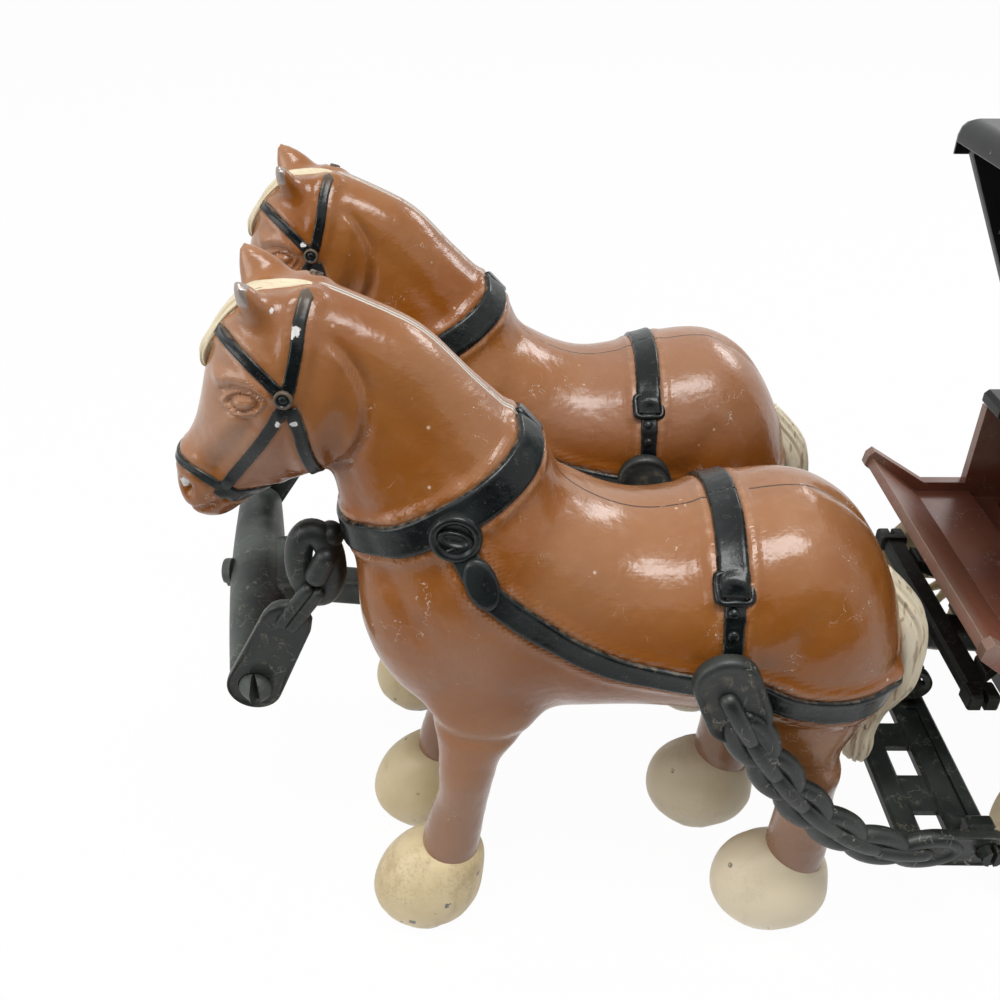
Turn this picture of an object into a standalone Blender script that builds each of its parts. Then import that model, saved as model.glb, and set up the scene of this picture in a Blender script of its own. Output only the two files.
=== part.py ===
"""Horse and wagon coin bank: a two-horse die-cast team drawing a covered delivery wagon.

The team faces -X and the wagon follows it on +X. The origin is on the floor in the
middle of the toy's box. Horse shapes are given from the poll (the top of the head, between
the ears), the rest from the origin. Every length below is in millimetres and is turned into
metres when it is built.
"""
from math import atan2, cos, pi, radians, sin, tan

import bmesh
import bpy
import numpy as np
from mathutils import Matrix, Vector

MM = 0.001
GAP = 0.3

# Team layout
POLL_TO_ORIGIN = 118.0
HORSE_Y = 23.7
OFF_HORSE_LEAD = 4.5
HORSE_WALL = 2.2

# Hoof positions, from the poll and the horse's own middle plane
LEG_Y = 9.8
FRONT_RIGHT_LEAD = 2.0
REAR_RIGHT_LEAD = 7.6

# Neck yoke and pole
YOKE_X = -18.3
YOKE_Z = 41.0
YOKE_RADIUS = 4.5
YOKE_TIP_RADIUS = 3.7
YOKE_HALF = 23.4
YOKE_PEG_RADIUS = 2.0
YOKE_PEG_END = 28.4
YOKE_YAW = radians(10.5)
YOKE_BOSS_REAR = 5.8
YOKE_BOSS_HALF = (7.6, 3.0)
YOKE_PIN_RADIUS = 1.6
YOKE_PIN_HEAD = (3.0, -6.6, -5.5)
POLE_HALF_WIDTH = 2.4
POLE_HALF_HEIGHT = 2.3
POLE_FRONT_Z = 40.6
POLE_REAR_Z = 28.6
POLE_REAR_X = -7.8

# Evener (the double crossbar that the trace chains pull)
EVENER_FRONT_BAR = (-37.6, -33.8)
EVENER_REAR_BAR = (-29.9, -23.7)
EVENER_Z = (18.8, 21.0)
EVENER_HALF = 37.6
EVENER_PIN_X = -31.0
PEG_RADIUS = 1.5
OUTER_PEG_Y = 39.6
INNER_PEG_Y = 7.8
PEG_X = -26.8
PEG_Z = 23.2
INNER_PEG_Z = 25.0

# Front gear under the wagon
SPLINTER_X = (-25.0, -21.4)
SPLINTER_HALF = 22.6
SPLINTER_Z = (32.9, 35.5)
SPLINTER_END = 3.8
HOUND_HALF = 2.2
BOLSTER_HALF_X = 5.0
BOLSTER_HALF_Y = 24.5
BOLSTER_TOP = 36.2

# Wheels and axles
KINGPIN_X = -1.8
FRONT_WHEEL_RADIUS = 18.8
REAR_WHEEL_RADIUS = 24.0
REAR_AXLE_X = 98.0
WHEEL_Y = 30.6
RIM_WIDTH = 4.2
RIM_DEPTH = 5.4
HUB_RADIUS = 4.4
HUB_HALF = 2.7
AXLE_RADIUS = 1.3
AXLE_HALF = 36.0
FRONT_SPOKES = 12
REAR_SPOKES = 14

# Wagon body
BODY_HALF = 27.5
BOARD = 2.0
FLOOR_TOP = 40.8
FLOOR_BOTTOM = 39.4
TOE_TIP = (-28.0, 49.0)
TOE_FOOT = (-18.6, 42.0)
STEP_X = -8.5
LIP_TOP = 44.0
BOARD_FRONT_X = -10.0
BOARD_TOP = 59.5
BODY_REAR = 139.5
PANEL_Y = (23.4, 25.1)
PANEL_TOP = 107.0
ROOF_X = (-27.2, 141.5)
ROOF_HALF = 27.0
ROOF_Z = (103.3, 108.8)
ROOF_WALL = 1.6
SLOT_X = 60.0
SLOT_SIZE = (4.6, 34.0)
BULKHEAD_X = (18.0, 19.6)
FRAME_X = (135.0, 137.0)
DOOR_X = (137.3, 139.1)
DOOR_HINGE = (139.8, -21.6)
LOCK_Y = 12.5
LOCK_Z = 74.0

# Paint and plastic: colour, roughness, metallic
FINISHES = {
    "brown_enamel": ((0.27, 0.10, 0.04), 0.28, 0.0),
    "black_plastic": ((0.02, 0.022, 0.023), 0.45, 0.0),
    "maroon_enamel": ((0.12, 0.03, 0.022), 0.4, 0.0),
    "black_enamel": ((0.015, 0.016, 0.017), 0.4, 0.0),
    "cream_plastic": ((0.66, 0.55, 0.34), 0.5, 0.0),
    "steel": ((0.55, 0.55, 0.56), 0.35, 1.0),
}


# Scene and material helpers
def clear_scene():
    for obj in list(bpy.data.objects):
        bpy.data.objects.remove(obj, do_unlink=True)


def make_collection(name):
    collection = bpy.data.collections.new(name)
    bpy.context.scene.collection.children.link(collection)
    return collection


def make_material(name):
    colour, roughness, metallic = FINISHES[name]
    material = bpy.data.materials.new(name)
    material.use_nodes = True
    shader = material.node_tree.nodes["Principled BSDF"]
    shader.inputs["Base Color"].default_value = (*colour, 1.0)
    shader.inputs["Roughness"].default_value = roughness
    shader.inputs["Metallic"].default_value = metallic
    material.diffuse_color = (*colour, 1.0)
    return material


clear_scene()
PARTS = make_collection("horse_and_wagon_coin_bank")
MATERIALS = {name: make_material(name) for name in FINISHES}


def object_from(bm, name="piece"):
    """Turn a bmesh in millimetres into an object in metres."""
    bmesh.ops.scale(bm, vec=(MM, MM, MM), verts=bm.verts)
    bmesh.ops.recalc_face_normals(bm, faces=bm.faces)
    mesh = bpy.data.meshes.new(name)
    bm.to_mesh(mesh)
    bm.free()
    obj = bpy.data.objects.new(name, mesh)
    PARTS.objects.link(obj)
    return obj


def finish(obj, name, finish_name, smooth=True):
    obj.name = name
    obj.data.name = name
    obj.data.materials.clear()
    obj.data.materials.append(MATERIALS[finish_name])
    if smooth:
        obj.data.shade_smooth()
        obj.data.set_sharp_from_angle(angle=radians(40))
    return obj


def combined(base, others, operation="UNION"):
    """Join or cut with exact Booleans, then keep the result as one mesh."""
    for other in others:
        step = base.modifiers.new(operation.lower(), "BOOLEAN")
        step.operation = operation
        step.solver = "EXACT"
        step.object = other
    bpy.context.view_layer.update()
    graph = bpy.context.evaluated_depsgraph_get()
    mesh = bpy.data.meshes.new_from_object(base.evaluated_get(graph))
    base.modifiers.clear()
    for other in others:
        bpy.data.objects.remove(other, do_unlink=True)
    bm = bmesh.new()
    bm.from_mesh(mesh)
    bmesh.ops.remove_doubles(bm, verts=bm.verts, dist=0.004 * MM)
    bmesh.ops.dissolve_degenerate(bm, dist=0.004 * MM, edges=bm.edges)
    bm.to_mesh(mesh)
    bm.free()
    base.data = mesh
    return base


def joined(pieces):
    """Put separate bodies into one object without joining them."""
    bm = bmesh.new()
    for piece in pieces:
        bm.from_mesh(piece.data)
        bpy.data.objects.remove(piece, do_unlink=True)
    bmesh.ops.scale(bm, vec=(1 / MM, 1 / MM, 1 / MM), verts=bm.verts)
    return object_from(bm)


def pivoted(obj, place):
    """Put a moving piece's origin on its joint's axis and leave the piece where it is."""
    shift = Vector(place) * MM
    obj.data.transform(Matrix.Translation(-shift))
    obj.location = shift
    return obj


def carried(pieces, name, place):
    """Parent pieces to an empty that stands on the axis of the joint they turn about."""
    pivot = bpy.data.objects.new(name, None)
    pivot.location = Vector(place) * MM
    PARTS.objects.link(pivot)
    bpy.context.view_layer.update()
    for piece in pieces:
        piece.parent = pivot
        piece.matrix_parent_inverse = pivot.matrix_world.inverted()


# Shape helpers, all in millimetres
def box(x, y, z, chamfer=0.0):
    bm = bmesh.new()
    bmesh.ops.create_cube(bm, size=1.0)
    size = (x[1] - x[0], y[1] - y[0], z[1] - z[0])
    centre = ((x[0] + x[1]) / 2, (y[0] + y[1]) / 2, (z[0] + z[1]) / 2)
    bmesh.ops.scale(bm, vec=size, verts=bm.verts)
    bmesh.ops.translate(bm, vec=centre, verts=bm.verts)
    if chamfer:
        bmesh.ops.bevel(bm, geom=bm.edges[:], offset=chamfer, segments=1, affect="EDGES")
    return object_from(bm)


def rod(start, end, radius, end_radius=None, sides=16):
    """A round bar, or a cone, from one point to another."""
    start, end = Vector(start), Vector(end)
    bm = bmesh.new()
    bmesh.ops.create_cone(bm, cap_ends=True, segments=sides, radius1=radius,
                          radius2=radius if end_radius is None else end_radius,
                          depth=(end - start).length)
    turn = (end - start).to_track_quat("Z", "Y").to_matrix().to_4x4()
    bmesh.ops.transform(bm, matrix=Matrix.Translation((start + end) / 2) @ turn, verts=bm.verts)
    return object_from(bm)


def plate(outline, low, high, plane="XZ"):
    """A flat outline given as points, made thick between low and high along the third axis."""
    curve = bpy.data.curves.new("outline", "CURVE")
    curve.dimensions = "2D"
    curve.fill_mode = "BOTH"
    curve.extrude = (high - low) / 2 * MM
    spline = curve.splines.new("POLY")
    spline.points.add(len(outline) - 1)
    for point, (u, v) in zip(spline.points, outline):
        point.co = (u * MM, v * MM, 0.0, 1.0)
    spline.use_cyclic_u = True
    flat = bpy.data.objects.new("outline", curve)
    PARTS.objects.link(flat)
    middle = (high + low) / 2 * MM
    if plane == "XZ":
        flat.matrix_world = Matrix.Translation((0, middle, 0)) @ Matrix.Rotation(pi / 2, 4, "X")
    else:
        flat.matrix_world = Matrix.Translation((0, 0, middle))
    bpy.context.view_layer.update()
    graph = bpy.context.evaluated_depsgraph_get()
    mesh = bpy.data.meshes.new_from_object(flat.evaluated_get(graph))
    mesh.transform(flat.matrix_world)
    bpy.data.objects.remove(flat, do_unlink=True)
    bm = bmesh.new()
    bm.from_mesh(mesh)
    bmesh.ops.remove_doubles(bm, verts=bm.verts, dist=0.01 * MM)
    bmesh.ops.recalc_face_normals(bm, faces=bm.faces)
    bm.to_mesh(mesh)
    bm.free()
    piece = bpy.data.objects.new("plate", mesh)
    PARTS.objects.link(piece)
    return piece


def turned(profile, centre, axis, steps):
    """A profile of (radius, along) points carried round an axis by a Screw modifier.

    A profile that starts and ends on the axis makes a solid bar, any other is closed to a ring.
    """
    mesh = bpy.data.meshes.new("profile")
    points = [(r * MM, 0.0, h * MM) for r, h in profile]
    edges = [(i, i + 1) for i in range(len(points) - 1)]
    if profile[0][0] > 0.0:
        edges.append((len(points) - 1, 0))
    mesh.from_pydata(points, edges, [])
    piece = bpy.data.objects.new("turned", mesh)
    PARTS.objects.link(piece)
    screw = piece.modifiers.new("turn", "SCREW")
    screw.steps = steps
    screw.render_steps = steps
    screw.use_merge_vertices = True
    screw.merge_threshold = 0.00001
    bpy.context.view_layer.update()
    graph = bpy.context.evaluated_depsgraph_get()
    result = bpy.data.meshes.new_from_object(piece.evaluated_get(graph))
    bpy.data.objects.remove(piece, do_unlink=True)
    bm = bmesh.new()
    bm.from_mesh(result)
    bmesh.ops.scale(bm, vec=(1 / MM, 1 / MM, 1 / MM), verts=bm.verts)
    bmesh.ops.dissolve_degenerate(bm, dist=0.001, edges=bm.edges)
    turn = Vector(axis).to_track_quat("Z", "Y").to_matrix().to_4x4()
    bmesh.ops.transform(bm, matrix=Matrix.Translation(centre) @ turn, verts=bm.verts)
    return object_from(bm)


def capsule(centre, along, length, width, thickness, across=(0, 1, 0), sides=6, rings=4):
    """An egg-shaped link: long along one direction, thin across another."""
    bm = bmesh.new()
    bmesh.ops.create_uvsphere(bm, u_segments=sides, v_segments=rings, radius=1.0)
    bmesh.ops.scale(bm, vec=(thickness / 2, width / 2, length / 2), verts=bm.verts)
    along, across = Vector(along).normalized(), Vector(across).normalized()
    side = along.cross(across)
    turn = Matrix((across, side, along)).transposed().to_4x4()
    bmesh.ops.transform(bm, matrix=Matrix.Translation(centre) @ turn, verts=bm.verts)
    return object_from(bm)


def loft(sections, sides, offset=(0.0, 0.0), grow=0.0):
    """A body through oval sections that stand square to the horse's middle plane.

    Each section is (front point x, z, back point x, z, half width, sideways place). The oval
    spans from the front point to the back point, and its half width lies across the horse.
    """
    angles = (np.arange(sides) + 0.5) * 2 * pi / sides
    bm = bmesh.new()
    rings = []
    for fx, fz, bx, bz, half, side in sections:
        reach = max(np.hypot(fx - bx, fz - bz) / 2, 0.01)
        scale = (reach + grow) / reach
        middle = np.array([(fx + bx) / 2, side, (fz + bz) / 2])
        long = np.array([fx - bx, 0.0, fz - bz]) / 2 * scale
        wide = np.array([0.0, half + grow, 0.0])
        ring = [bm.verts.new(middle + cos(a) * long + sin(a) * wide) for a in angles]
        rings.append(ring)
    for lower, upper in zip(rings, rings[1:]):
        for i in range(sides):
            j = (i + 1) % sides
            bm.faces.new((lower[i], lower[j], upper[j], upper[i]))
    bm.faces.new(rings[0])
    bm.faces.new(list(reversed(rings[-1])))
    bmesh.ops.translate(bm, vec=(offset[0], offset[1], 0.0), verts=bm.verts)
    return object_from(bm)


# Horse sections, in millimetres from the poll: front x, z, back x, z, half width, sideways place
TORSO = [
    (3.0, 66.0, 3.2, 54.0, 6.5, 0.0),
    (6.0, 72.0, 6.0, 46.0, 10.5, 0.0),
    (11.0, 76.0, 11.0, 40.5, 13.3, 0.0),
    (18.0, 79.5, 18.0, 39.0, 14.8, 0.0),
    (26.0, 78.0, 26.0, 40.0, 15.2, 0.0),
    (33.0, 73.0, 33.0, 41.6, 15.2, 0.0),
    (40.0, 70.6, 40.0, 42.4, 15.4, 0.0),
    (47.0, 71.6, 47.0, 42.0, 16.0, 0.0),
    (55.0, 73.8, 55.0, 40.0, 16.6, 0.0),
    (62.0, 74.0, 62.0, 38.0, 16.6, 0.0),
    (69.0, 70.4, 69.0, 38.0, 15.0, 0.0),
    (74.0, 63.8, 74.0, 40.5, 11.5, 0.0),
    (77.2, 56.5, 77.2, 45.0, 5.5, 0.0),
]
NECK = [
    (4.0, 58.0, 30.0, 72.0, 12.8, 0.0),
    (1.9, 66.5, 27.6, 80.0, 11.6, 0.0),
    (1.0, 73.5, 23.0, 84.8, 9.8, 0.0),
    (0.4, 79.0, 18.3, 89.6, 8.3, 0.0),
    (-0.6, 84.5, 12.8, 95.4, 7.2, 0.0),
    (-3.0, 91.0, 6.4, 98.8, 6.2, 0.0),
    (-5.0, 96.0, 1.0, 101.0, 4.8, 0.0),
]
HEAD = [
    (-7.0, 101.6, 2.4, 100.6, 4.8, 0.0),
    (-11.7, 97.2, 6.4, 95.4, 7.4, 0.0),
    (-13.2, 92.4, 7.2, 88.4, 8.7, 0.0),
    (-14.2, 87.4, 5.0, 82.2, 8.4, 0.0),
    (-15.8, 83.4, -1.0, 76.8, 6.4, 0.0),
    (-18.3, 79.6, -6.4, 75.0, 5.4, 0.0),
    (-19.0, 75.6, -10.4, 72.0, 4.9, 0.0),
    (-18.2, 72.2, -12.8, 70.2, 3.6, 0.0),
    (-16.8, 70.7, -14.4, 69.9, 1.6, 0.0),
]
FRONT_LEG = [
    (9.0, 56.0, 29.0, 56.0, 6.5, 7.4),
    (11.2, 46.0, 28.6, 46.0, 5.6, 8.8),
    (12.5, 41.0, 25.8, 41.0, 4.8, 9.4),
    (12.9, 35.5, 21.8, 35.5, 4.2, 9.8),
    (12.3, 28.0, 19.3, 28.0, 3.7, LEG_Y),
    (11.2, 22.4, 18.5, 22.4, 3.6, LEG_Y),
    (6.8, 20.2, 18.8, 20.2, 5.2, LEG_Y),
    (3.5, 16.2, 19.3, 16.2, 7.2, LEG_Y),
    (2.3, 11.2, 19.3, 11.2, 7.9, LEG_Y),
    (2.8, 6.4, 17.9, 6.4, 7.4, LEG_Y),
    (5.0, 2.3, 15.6, 2.3, 5.7, LEG_Y),
    (6.8, 0.0, 13.6, 0.0, 4.0, LEG_Y),
]
REAR_LEG = [
    (47.0, 56.0, 75.5, 56.0, 8.0, 7.8),
    (49.5, 48.0, 75.0, 48.0, 7.2, 8.4),
    (53.0, 42.5, 71.6, 42.5, 6.0, 9.0),
    (57.6, 38.0, 68.8, 38.0, 5.0, 9.6),
    (60.4, 33.0, 68.7, 33.0, 4.3, LEG_Y),
    (61.4, 26.8, 69.0, 26.8, 3.9, LEG_Y),
    (61.4, 22.8, 69.4, 22.8, 3.9, LEG_Y),
    (57.7, 20.6, 70.0, 20.6, 5.4, LEG_Y),
    (55.0, 16.6, 71.0, 16.6, 7.3, LEG_Y),
    (54.0, 11.5, 71.5, 11.5, 8.1, LEG_Y),
    (55.0, 6.5, 70.5, 6.5, 7.6, LEG_Y),
    (57.5, 2.3, 68.0, 2.3, 5.8, LEG_Y),
    (59.6, 0.0, 66.0, 0.0, 4.0, LEG_Y),
]
TAIL = [
    (71.0, 56.0, 77.4, 60.4, 2.8, 0.0),
    (76.2, 51.6, 81.4, 53.0, 4.2, 0.0),
    (77.2, 44.6, 82.5, 44.6, 4.8, 0.0),
    (77.0, 38.4, 82.2, 37.6, 4.6, 0.0),
    (75.6, 33.4, 80.9, 32.0, 4.0, 0.0),
    (74.8, 28.8, 79.7, 27.6, 3.4, 0.0),
    (75.6, 25.0, 79.3, 24.4, 2.8, 0.0),
    (76.8, 23.6, 78.4, 23.2, 1.4, 0.0),
]
EAR = [
    (-8.2, 97.4, 1.2, 98.6, 2.4, 4.6),
    (-8.5, 100.2, -1.4, 100.6, 2.1, 5.6),
    (-8.2, 102.6, -4.4, 102.4, 1.4, 6.4),
    (-7.3, 104.2, -6.6, 103.9, 0.4, 6.8),
]
EAR_SHIFT = {-1: 1.0, 1: -1.6}
LEG_SHEAR_TOP = 46.0
LEG_SHEAR_FOOT = 26.0


def moved_leg(sections, side, lead):
    """The leg on one side (-1 left, 1 right), with its lower part stepped forward by lead."""
    result = []
    for fx, fz, bx, bz, half, place in sections:
        step = min(max((LEG_SHEAR_TOP - fz) / (LEG_SHEAR_TOP - LEG_SHEAR_FOOT), 0.0), 1.0) * lead
        result.append((fx - step, fz, bx - step, bz, half, place * side))
    return result


def turned_ear(side):
    """One ear. The pair is turned a little to the horse's left, so the right ear leads."""
    shift = EAR_SHIFT[side]
    return [(fx + shift, fz, bx + shift, bz, half, place * side) for fx, fz, bx, bz, half, place in EAR]


def horse_casting():
    """The whole outside of one horse, before it is hollowed and split."""
    parts = [
        loft(NECK, 12),
        loft(HEAD, 12),
        loft(moved_leg(FRONT_LEG, -1, 0.0), 10),
        loft(moved_leg(FRONT_LEG, 1, FRONT_RIGHT_LEAD), 10),
        loft(moved_leg(REAR_LEG, -1, 0.0), 10),
        loft(moved_leg(REAR_LEG, 1, REAR_RIGHT_LEAD), 10),
        loft(TAIL, 8),
        loft(turned_ear(-1), 8),
        loft(turned_ear(1), 8),
    ]
    return combined(loft(TORSO, 16), parts)


DOWEL_PLACES = ((13.0, 62.0), (66.0, 58.0))
DOWEL_RADIUS = 1.5
DOWEL_HALF = 6.0
BOSS_RADIUS = 3.6


def horse_hollow():
    """The space inside the barrel and the root of the neck, less the two dowel bosses."""
    barrel = [row for row in TORSO if 8.0 < row[0] < 72.0]
    hollow = loft(barrel, 12, grow=-HORSE_WALL - 1.0)
    bosses = [rod((x, -20.0, z), (x, 20.0, z), BOSS_RADIUS, sides=12) for x, z in DOWEL_PLACES]
    return combined(hollow, bosses, "DIFFERENCE")


def horse_half(side):
    """The left (-1) or right (1) casting of a horse, open along the seam."""
    whole = horse_casting()
    inner, outer = sorted((side * GAP / 2, side * 40.0))
    slab = box((-60.0, 120.0), (inner, outer), (-5.0, 130.0))
    half = combined(whole, [slab], "INTERSECT")
    holes = [rod((x, -DOWEL_HALF - GAP, z), (x, DOWEL_HALF + GAP, z), DOWEL_RADIUS + GAP, sides=10)
             for x, z in DOWEL_PLACES]
    return combined(half, [horse_hollow(), *holes], "DIFFERENCE")


def placed(obj, x, y):
    obj.location = (x * MM, y * MM, 0.0)
    return obj


def copy_of(obj, name):
    twin = bpy.data.objects.new(name, obj.data)
    PARTS.objects.link(twin)
    return twin


def make_horses():
    near = (-POLL_TO_ORIGIN, -HORSE_Y)
    off = (-POLL_TO_ORIGIN - OFF_HORSE_LEAD, HORSE_Y)
    for side, word in ((-1, "left"), (1, "right")):
        half = finish(horse_half(side), f"near_horse_{word}_half", "brown_enamel")
        placed(half, *near)
        placed(copy_of(half, f"off_horse_{word}_half"), *off)
    for word, (hx, hy) in (("near", near), ("off", off)):
        for place, (x, z) in zip(("front", "rear"), DOWEL_PLACES):
            dowel = rod((x + hx, hy - DOWEL_HALF, z), (x + hx, hy + DOWEL_HALF, z), DOWEL_RADIUS, sides=10)
            finish(dowel, f"{word}_horse_{place}_dowel", "steel")


# Neck yoke, its two flexible straps, and the pole
POLE_FRONT_X = YOKE_X - POLL_TO_ORIGIN


def yoke_point(y):
    return (POLE_FRONT_X - y * tan(YOKE_YAW), y, YOKE_Z)


def make_yoke():
    half = [(0.0, YOKE_PEG_END), (YOKE_PEG_RADIUS, YOKE_PEG_END), (YOKE_PEG_RADIUS, YOKE_HALF),
            (YOKE_TIP_RADIUS - 0.5, YOKE_HALF), (YOKE_TIP_RADIUS, YOKE_HALF - 0.6), (YOKE_RADIUS, 3.0)]
    profile = half + [(radius, -along) for radius, along in reversed(half)]
    bar = turned(profile, yoke_point(0.0), Vector(yoke_point(1.0)) - Vector(yoke_point(0.0)), 16)
    half_long, half_high = YOKE_BOSS_HALF
    outline = []
    rear = YOKE_BOSS_REAR
    for along, out in ((-half_long, 0), (half_long, 0), (half_long, rear), (-half_long, rear)):
        outline.append((POLE_FRONT_X + out * cos(YOKE_YAW) - along * sin(YOKE_YAW),
                        out * sin(YOKE_YAW) + along * cos(YOKE_YAW)))
    bar = combined(bar, [plate(outline, YOKE_Z - half_high, YOKE_Z + half_high, "XY")])
    slits = [rod((POLE_FRONT_X - 8, 0, YOKE_Z), (POLE_FRONT_X + 8, 0, YOKE_Z),
                 YOKE_PIN_RADIUS + GAP, sides=12)]
    for side in (-1, 1):
        x, y, z = yoke_point(side * YOKE_PEG_END)
        low, high = sorted((y - side * 2.6, y + side))
        slits.append(box((x - 0.4, x + 0.4), (low, high), (z - 3.0, z + 3.0)))
    finish(combined(bar, slits, "DIFFERENCE"), "neck_yoke", "black_plastic")


STRAP_WIDTH = 7.8
STRAP_THICK = 1.8
STRAP_LENGTH = 13.1
STRAP_Y = 25.4
# The big link, from the poll: its centre, half its straight length and its end radius
BIG_LINK_CENTRE = (-3.0, 62.0)
BIG_LINK_HALF = 2.9
BIG_LINK_RADIUS = 4.1
CHEST_PLACE = (1.1, 66.6)


def oval_outline(start, end, radius, arc=6):
    """A flat strap's outline: two half circles round two points, joined by straight sides."""
    angle = atan2(end[1] - start[1], end[0] - start[0])
    points = []
    for centre, first in ((end, angle - pi / 2), (start, angle + pi / 2)):
        for i in range(arc + 1):
            a = first + pi * i / arc
            points.append((centre[0] + radius * cos(a), centre[1] + radius * sin(a)))
    return points


def make_yoke_strap(name, x, side):
    """Strap from the yoke's peg up to a big link and on to the horse's chest, moulded as one piece."""
    y = side * STRAP_Y
    eye = Vector((yoke_point(y)[0], YOKE_Z))
    link = Vector((x + BIG_LINK_CENTRE[0], BIG_LINK_CENTRE[1]))
    way = (link - eye).normalized()
    top = eye + way * STRAP_LENGTH
    strap = plate(oval_outline(eye, top, STRAP_WIDTH / 2), y - STRAP_THICK / 2, y + STRAP_THICK / 2)
    hole = rod((eye.x, y - 3, eye.y), (eye.x, y + 3, eye.y), YOKE_PEG_RADIUS + GAP + 0.2, sides=12)
    strap = combined(strap, [hole], "DIFFERENCE")
    inside = side * (STRAP_Y - 0.9)
    half = Vector((0.0, BIG_LINK_HALF))
    big_link = plate(oval_outline(link - half, link + half, BIG_LINK_RADIUS), inside - 1.8, inside + 1.8)
    foot = top - way
    link_low = rod((foot.x, y, foot.y), (link.x, inside, link.y - BIG_LINK_HALF), 1.5, sides=8)
    link_high = rod((link.x + 1.0, inside, link.y + BIG_LINK_HALF),
                    (x + CHEST_PLACE[0], side * HORSE_Y, CHEST_PLACE[1]), 1.5, sides=8)
    finish(combined(strap, [big_link, link_low, link_high]), name, "black_plastic")


def pole_z(x):
    share = (x - POLE_FRONT_X) / (POLE_REAR_X - POLE_FRONT_X)
    return POLE_FRONT_Z + share * (POLE_REAR_Z - POLE_FRONT_Z)


def make_pole():
    front = POLE_FRONT_X + YOKE_BOSS_REAR + 1.0
    outline = [(front, pole_z(front) - POLE_HALF_HEIGHT), (POLE_REAR_X, POLE_REAR_Z - POLE_HALF_HEIGHT),
               (POLE_REAR_X, POLE_REAR_Z + POLE_HALF_HEIGHT), (front, pole_z(front) + POLE_HALF_HEIGHT)]
    pole = plate(outline, -POLE_HALF_WIDTH, POLE_HALF_WIDTH)
    head_radius, head_front, head_back = YOKE_PIN_HEAD
    pin = rod((POLE_FRONT_X + head_front + 0.4, 0, YOKE_Z), (front + 1.0, 0, YOKE_Z),
              YOKE_PIN_RADIUS, sides=12)
    head = rod((POLE_FRONT_X + head_front, 0, YOKE_Z), (POLE_FRONT_X + head_back, 0, YOKE_Z),
               head_radius, sides=14)
    pole = combined(pole, [pin, head])
    hole = rod((EVENER_PIN_X, 0, 21.0), (EVENER_PIN_X, 0, 41.0), PEG_RADIUS + GAP, sides=12)
    finish(combined(pole, [hole], "DIFFERENCE"), "pole", "black_plastic")


# Evener with its split pegs, its pin, and the four trace chains
def make_evener():
    half = EVENER_HALF
    front, rear, height = EVENER_FRONT_BAR, EVENER_REAR_BAR, EVENER_Z
    pieces = [box(rear, (-half, half), height, 0.5)]
    ties = [(-4.0, 4.0), (12.6, 17.8), (-17.8, -12.6), (23.8, 30.8), (-30.8, -23.8)]
    for low, high in ties:
        pieces.append(box((front[0] + 1.0, rear[0] + 1.0), (low, high), (height[0] + 0.6, height[1] - 0.6)))
    for side in (-1, 1):
        low, high = sorted((side * (INNER_PEG_Y - 3.2), side * (INNER_PEG_Y - 1.4)))
        pieces.append(box((PEG_X - 2.2, PEG_X + 2.2), (low, high), (height[1] - 1.0, INNER_PEG_Z + 2.2), 0.4))
        pieces.append(rod((PEG_X, side * (INNER_PEG_Y - 1.6), INNER_PEG_Z),
                          (PEG_X, side * (INNER_PEG_Y + 2.0), INNER_PEG_Z), PEG_RADIUS, sides=10))
        low, high = sorted((side * (half - 2.6), side * (half - 0.2)))
        pieces.append(box((PEG_X - 2.0, PEG_X + 2.0), (low, high), (height[1] - 1.0, PEG_Z + 1.7), 0.4))
        pieces.append(rod((PEG_X, side * (half - 1), PEG_Z), (PEG_X, side * (OUTER_PEG_Y + 2.2), PEG_Z),
                          PEG_RADIUS, sides=10))
    evener = combined(box(front, (-half + 1.5, half - 1.5), height, 0.5), pieces)
    cuts = [rod((EVENER_PIN_X, 0, 11.0), (EVENER_PIN_X, 0, 26.0), PEG_RADIUS + GAP, sides=12)]
    groove = ((rear[0] + rear[1]) / 2 - 0.9, (rear[0] + rear[1]) / 2 + 0.9)
    for side in (-1, 1):
        low, high = sorted((side * 9.5, side * 32.0))
        cuts.append(box(groove, (low, high), (height[1] - 0.7, height[1] + 1.0)))
        peg_end = side * (OUTER_PEG_Y + 2.2)
        low, high = sorted((peg_end - side * 1.8, peg_end + side))
        cuts.append(box((PEG_X - 0.35, PEG_X + 0.35), (low, high), (PEG_Z - 3, PEG_Z + 3)))
    finish(combined(evener, cuts, "DIFFERENCE"), "evener", "black_plastic")
    low, high = EVENER_Z[0] - 1.4, pole_z(EVENER_PIN_X) + POLE_HALF_HEIGHT + 0.6
    pin = combined(rod((EVENER_PIN_X, 0, low), (EVENER_PIN_X, 0, high), PEG_RADIUS, sides=12),
                   [rod((EVENER_PIN_X, 0, low - 1.0), (EVENER_PIN_X, 0, low + 0.8), 2.8, sides=12),
                    rod((EVENER_PIN_X, 0, high - 0.2), (EVENER_PIN_X, 0, high + 1.2), 2.8, sides=12)])
    finish(pin, "evener_pin", "black_plastic")
    spacer_top = pole_z(EVENER_PIN_X - 3.2) - POLE_HALF_HEIGHT - GAP - 0.6
    spacer = turned([(3.2, 0.0), (3.2, spacer_top - EVENER_Z[1] - GAP), (PEG_RADIUS + GAP,
                     spacer_top - EVENER_Z[1] - GAP), (PEG_RADIUS + GAP, 0.0)],
                    (EVENER_PIN_X, 0, EVENER_Z[1] + GAP), (0, 0, 1), 12)
    finish(spacer, "evener_spacer", "black_plastic")


PAD_CENTRE = (50.4, 54.6)
PAD_OUT = 18.6
PAD_SLANT = (4.2, -10.7)
PAD_RADIUS = 4.6
TRACE_END_OUT = 15.9
# Chain route from the pad to the peg, as shares of the run and the drop below a straight line
TRACE_SAG = 6.0
TRACE_LINKS = 6


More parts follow.
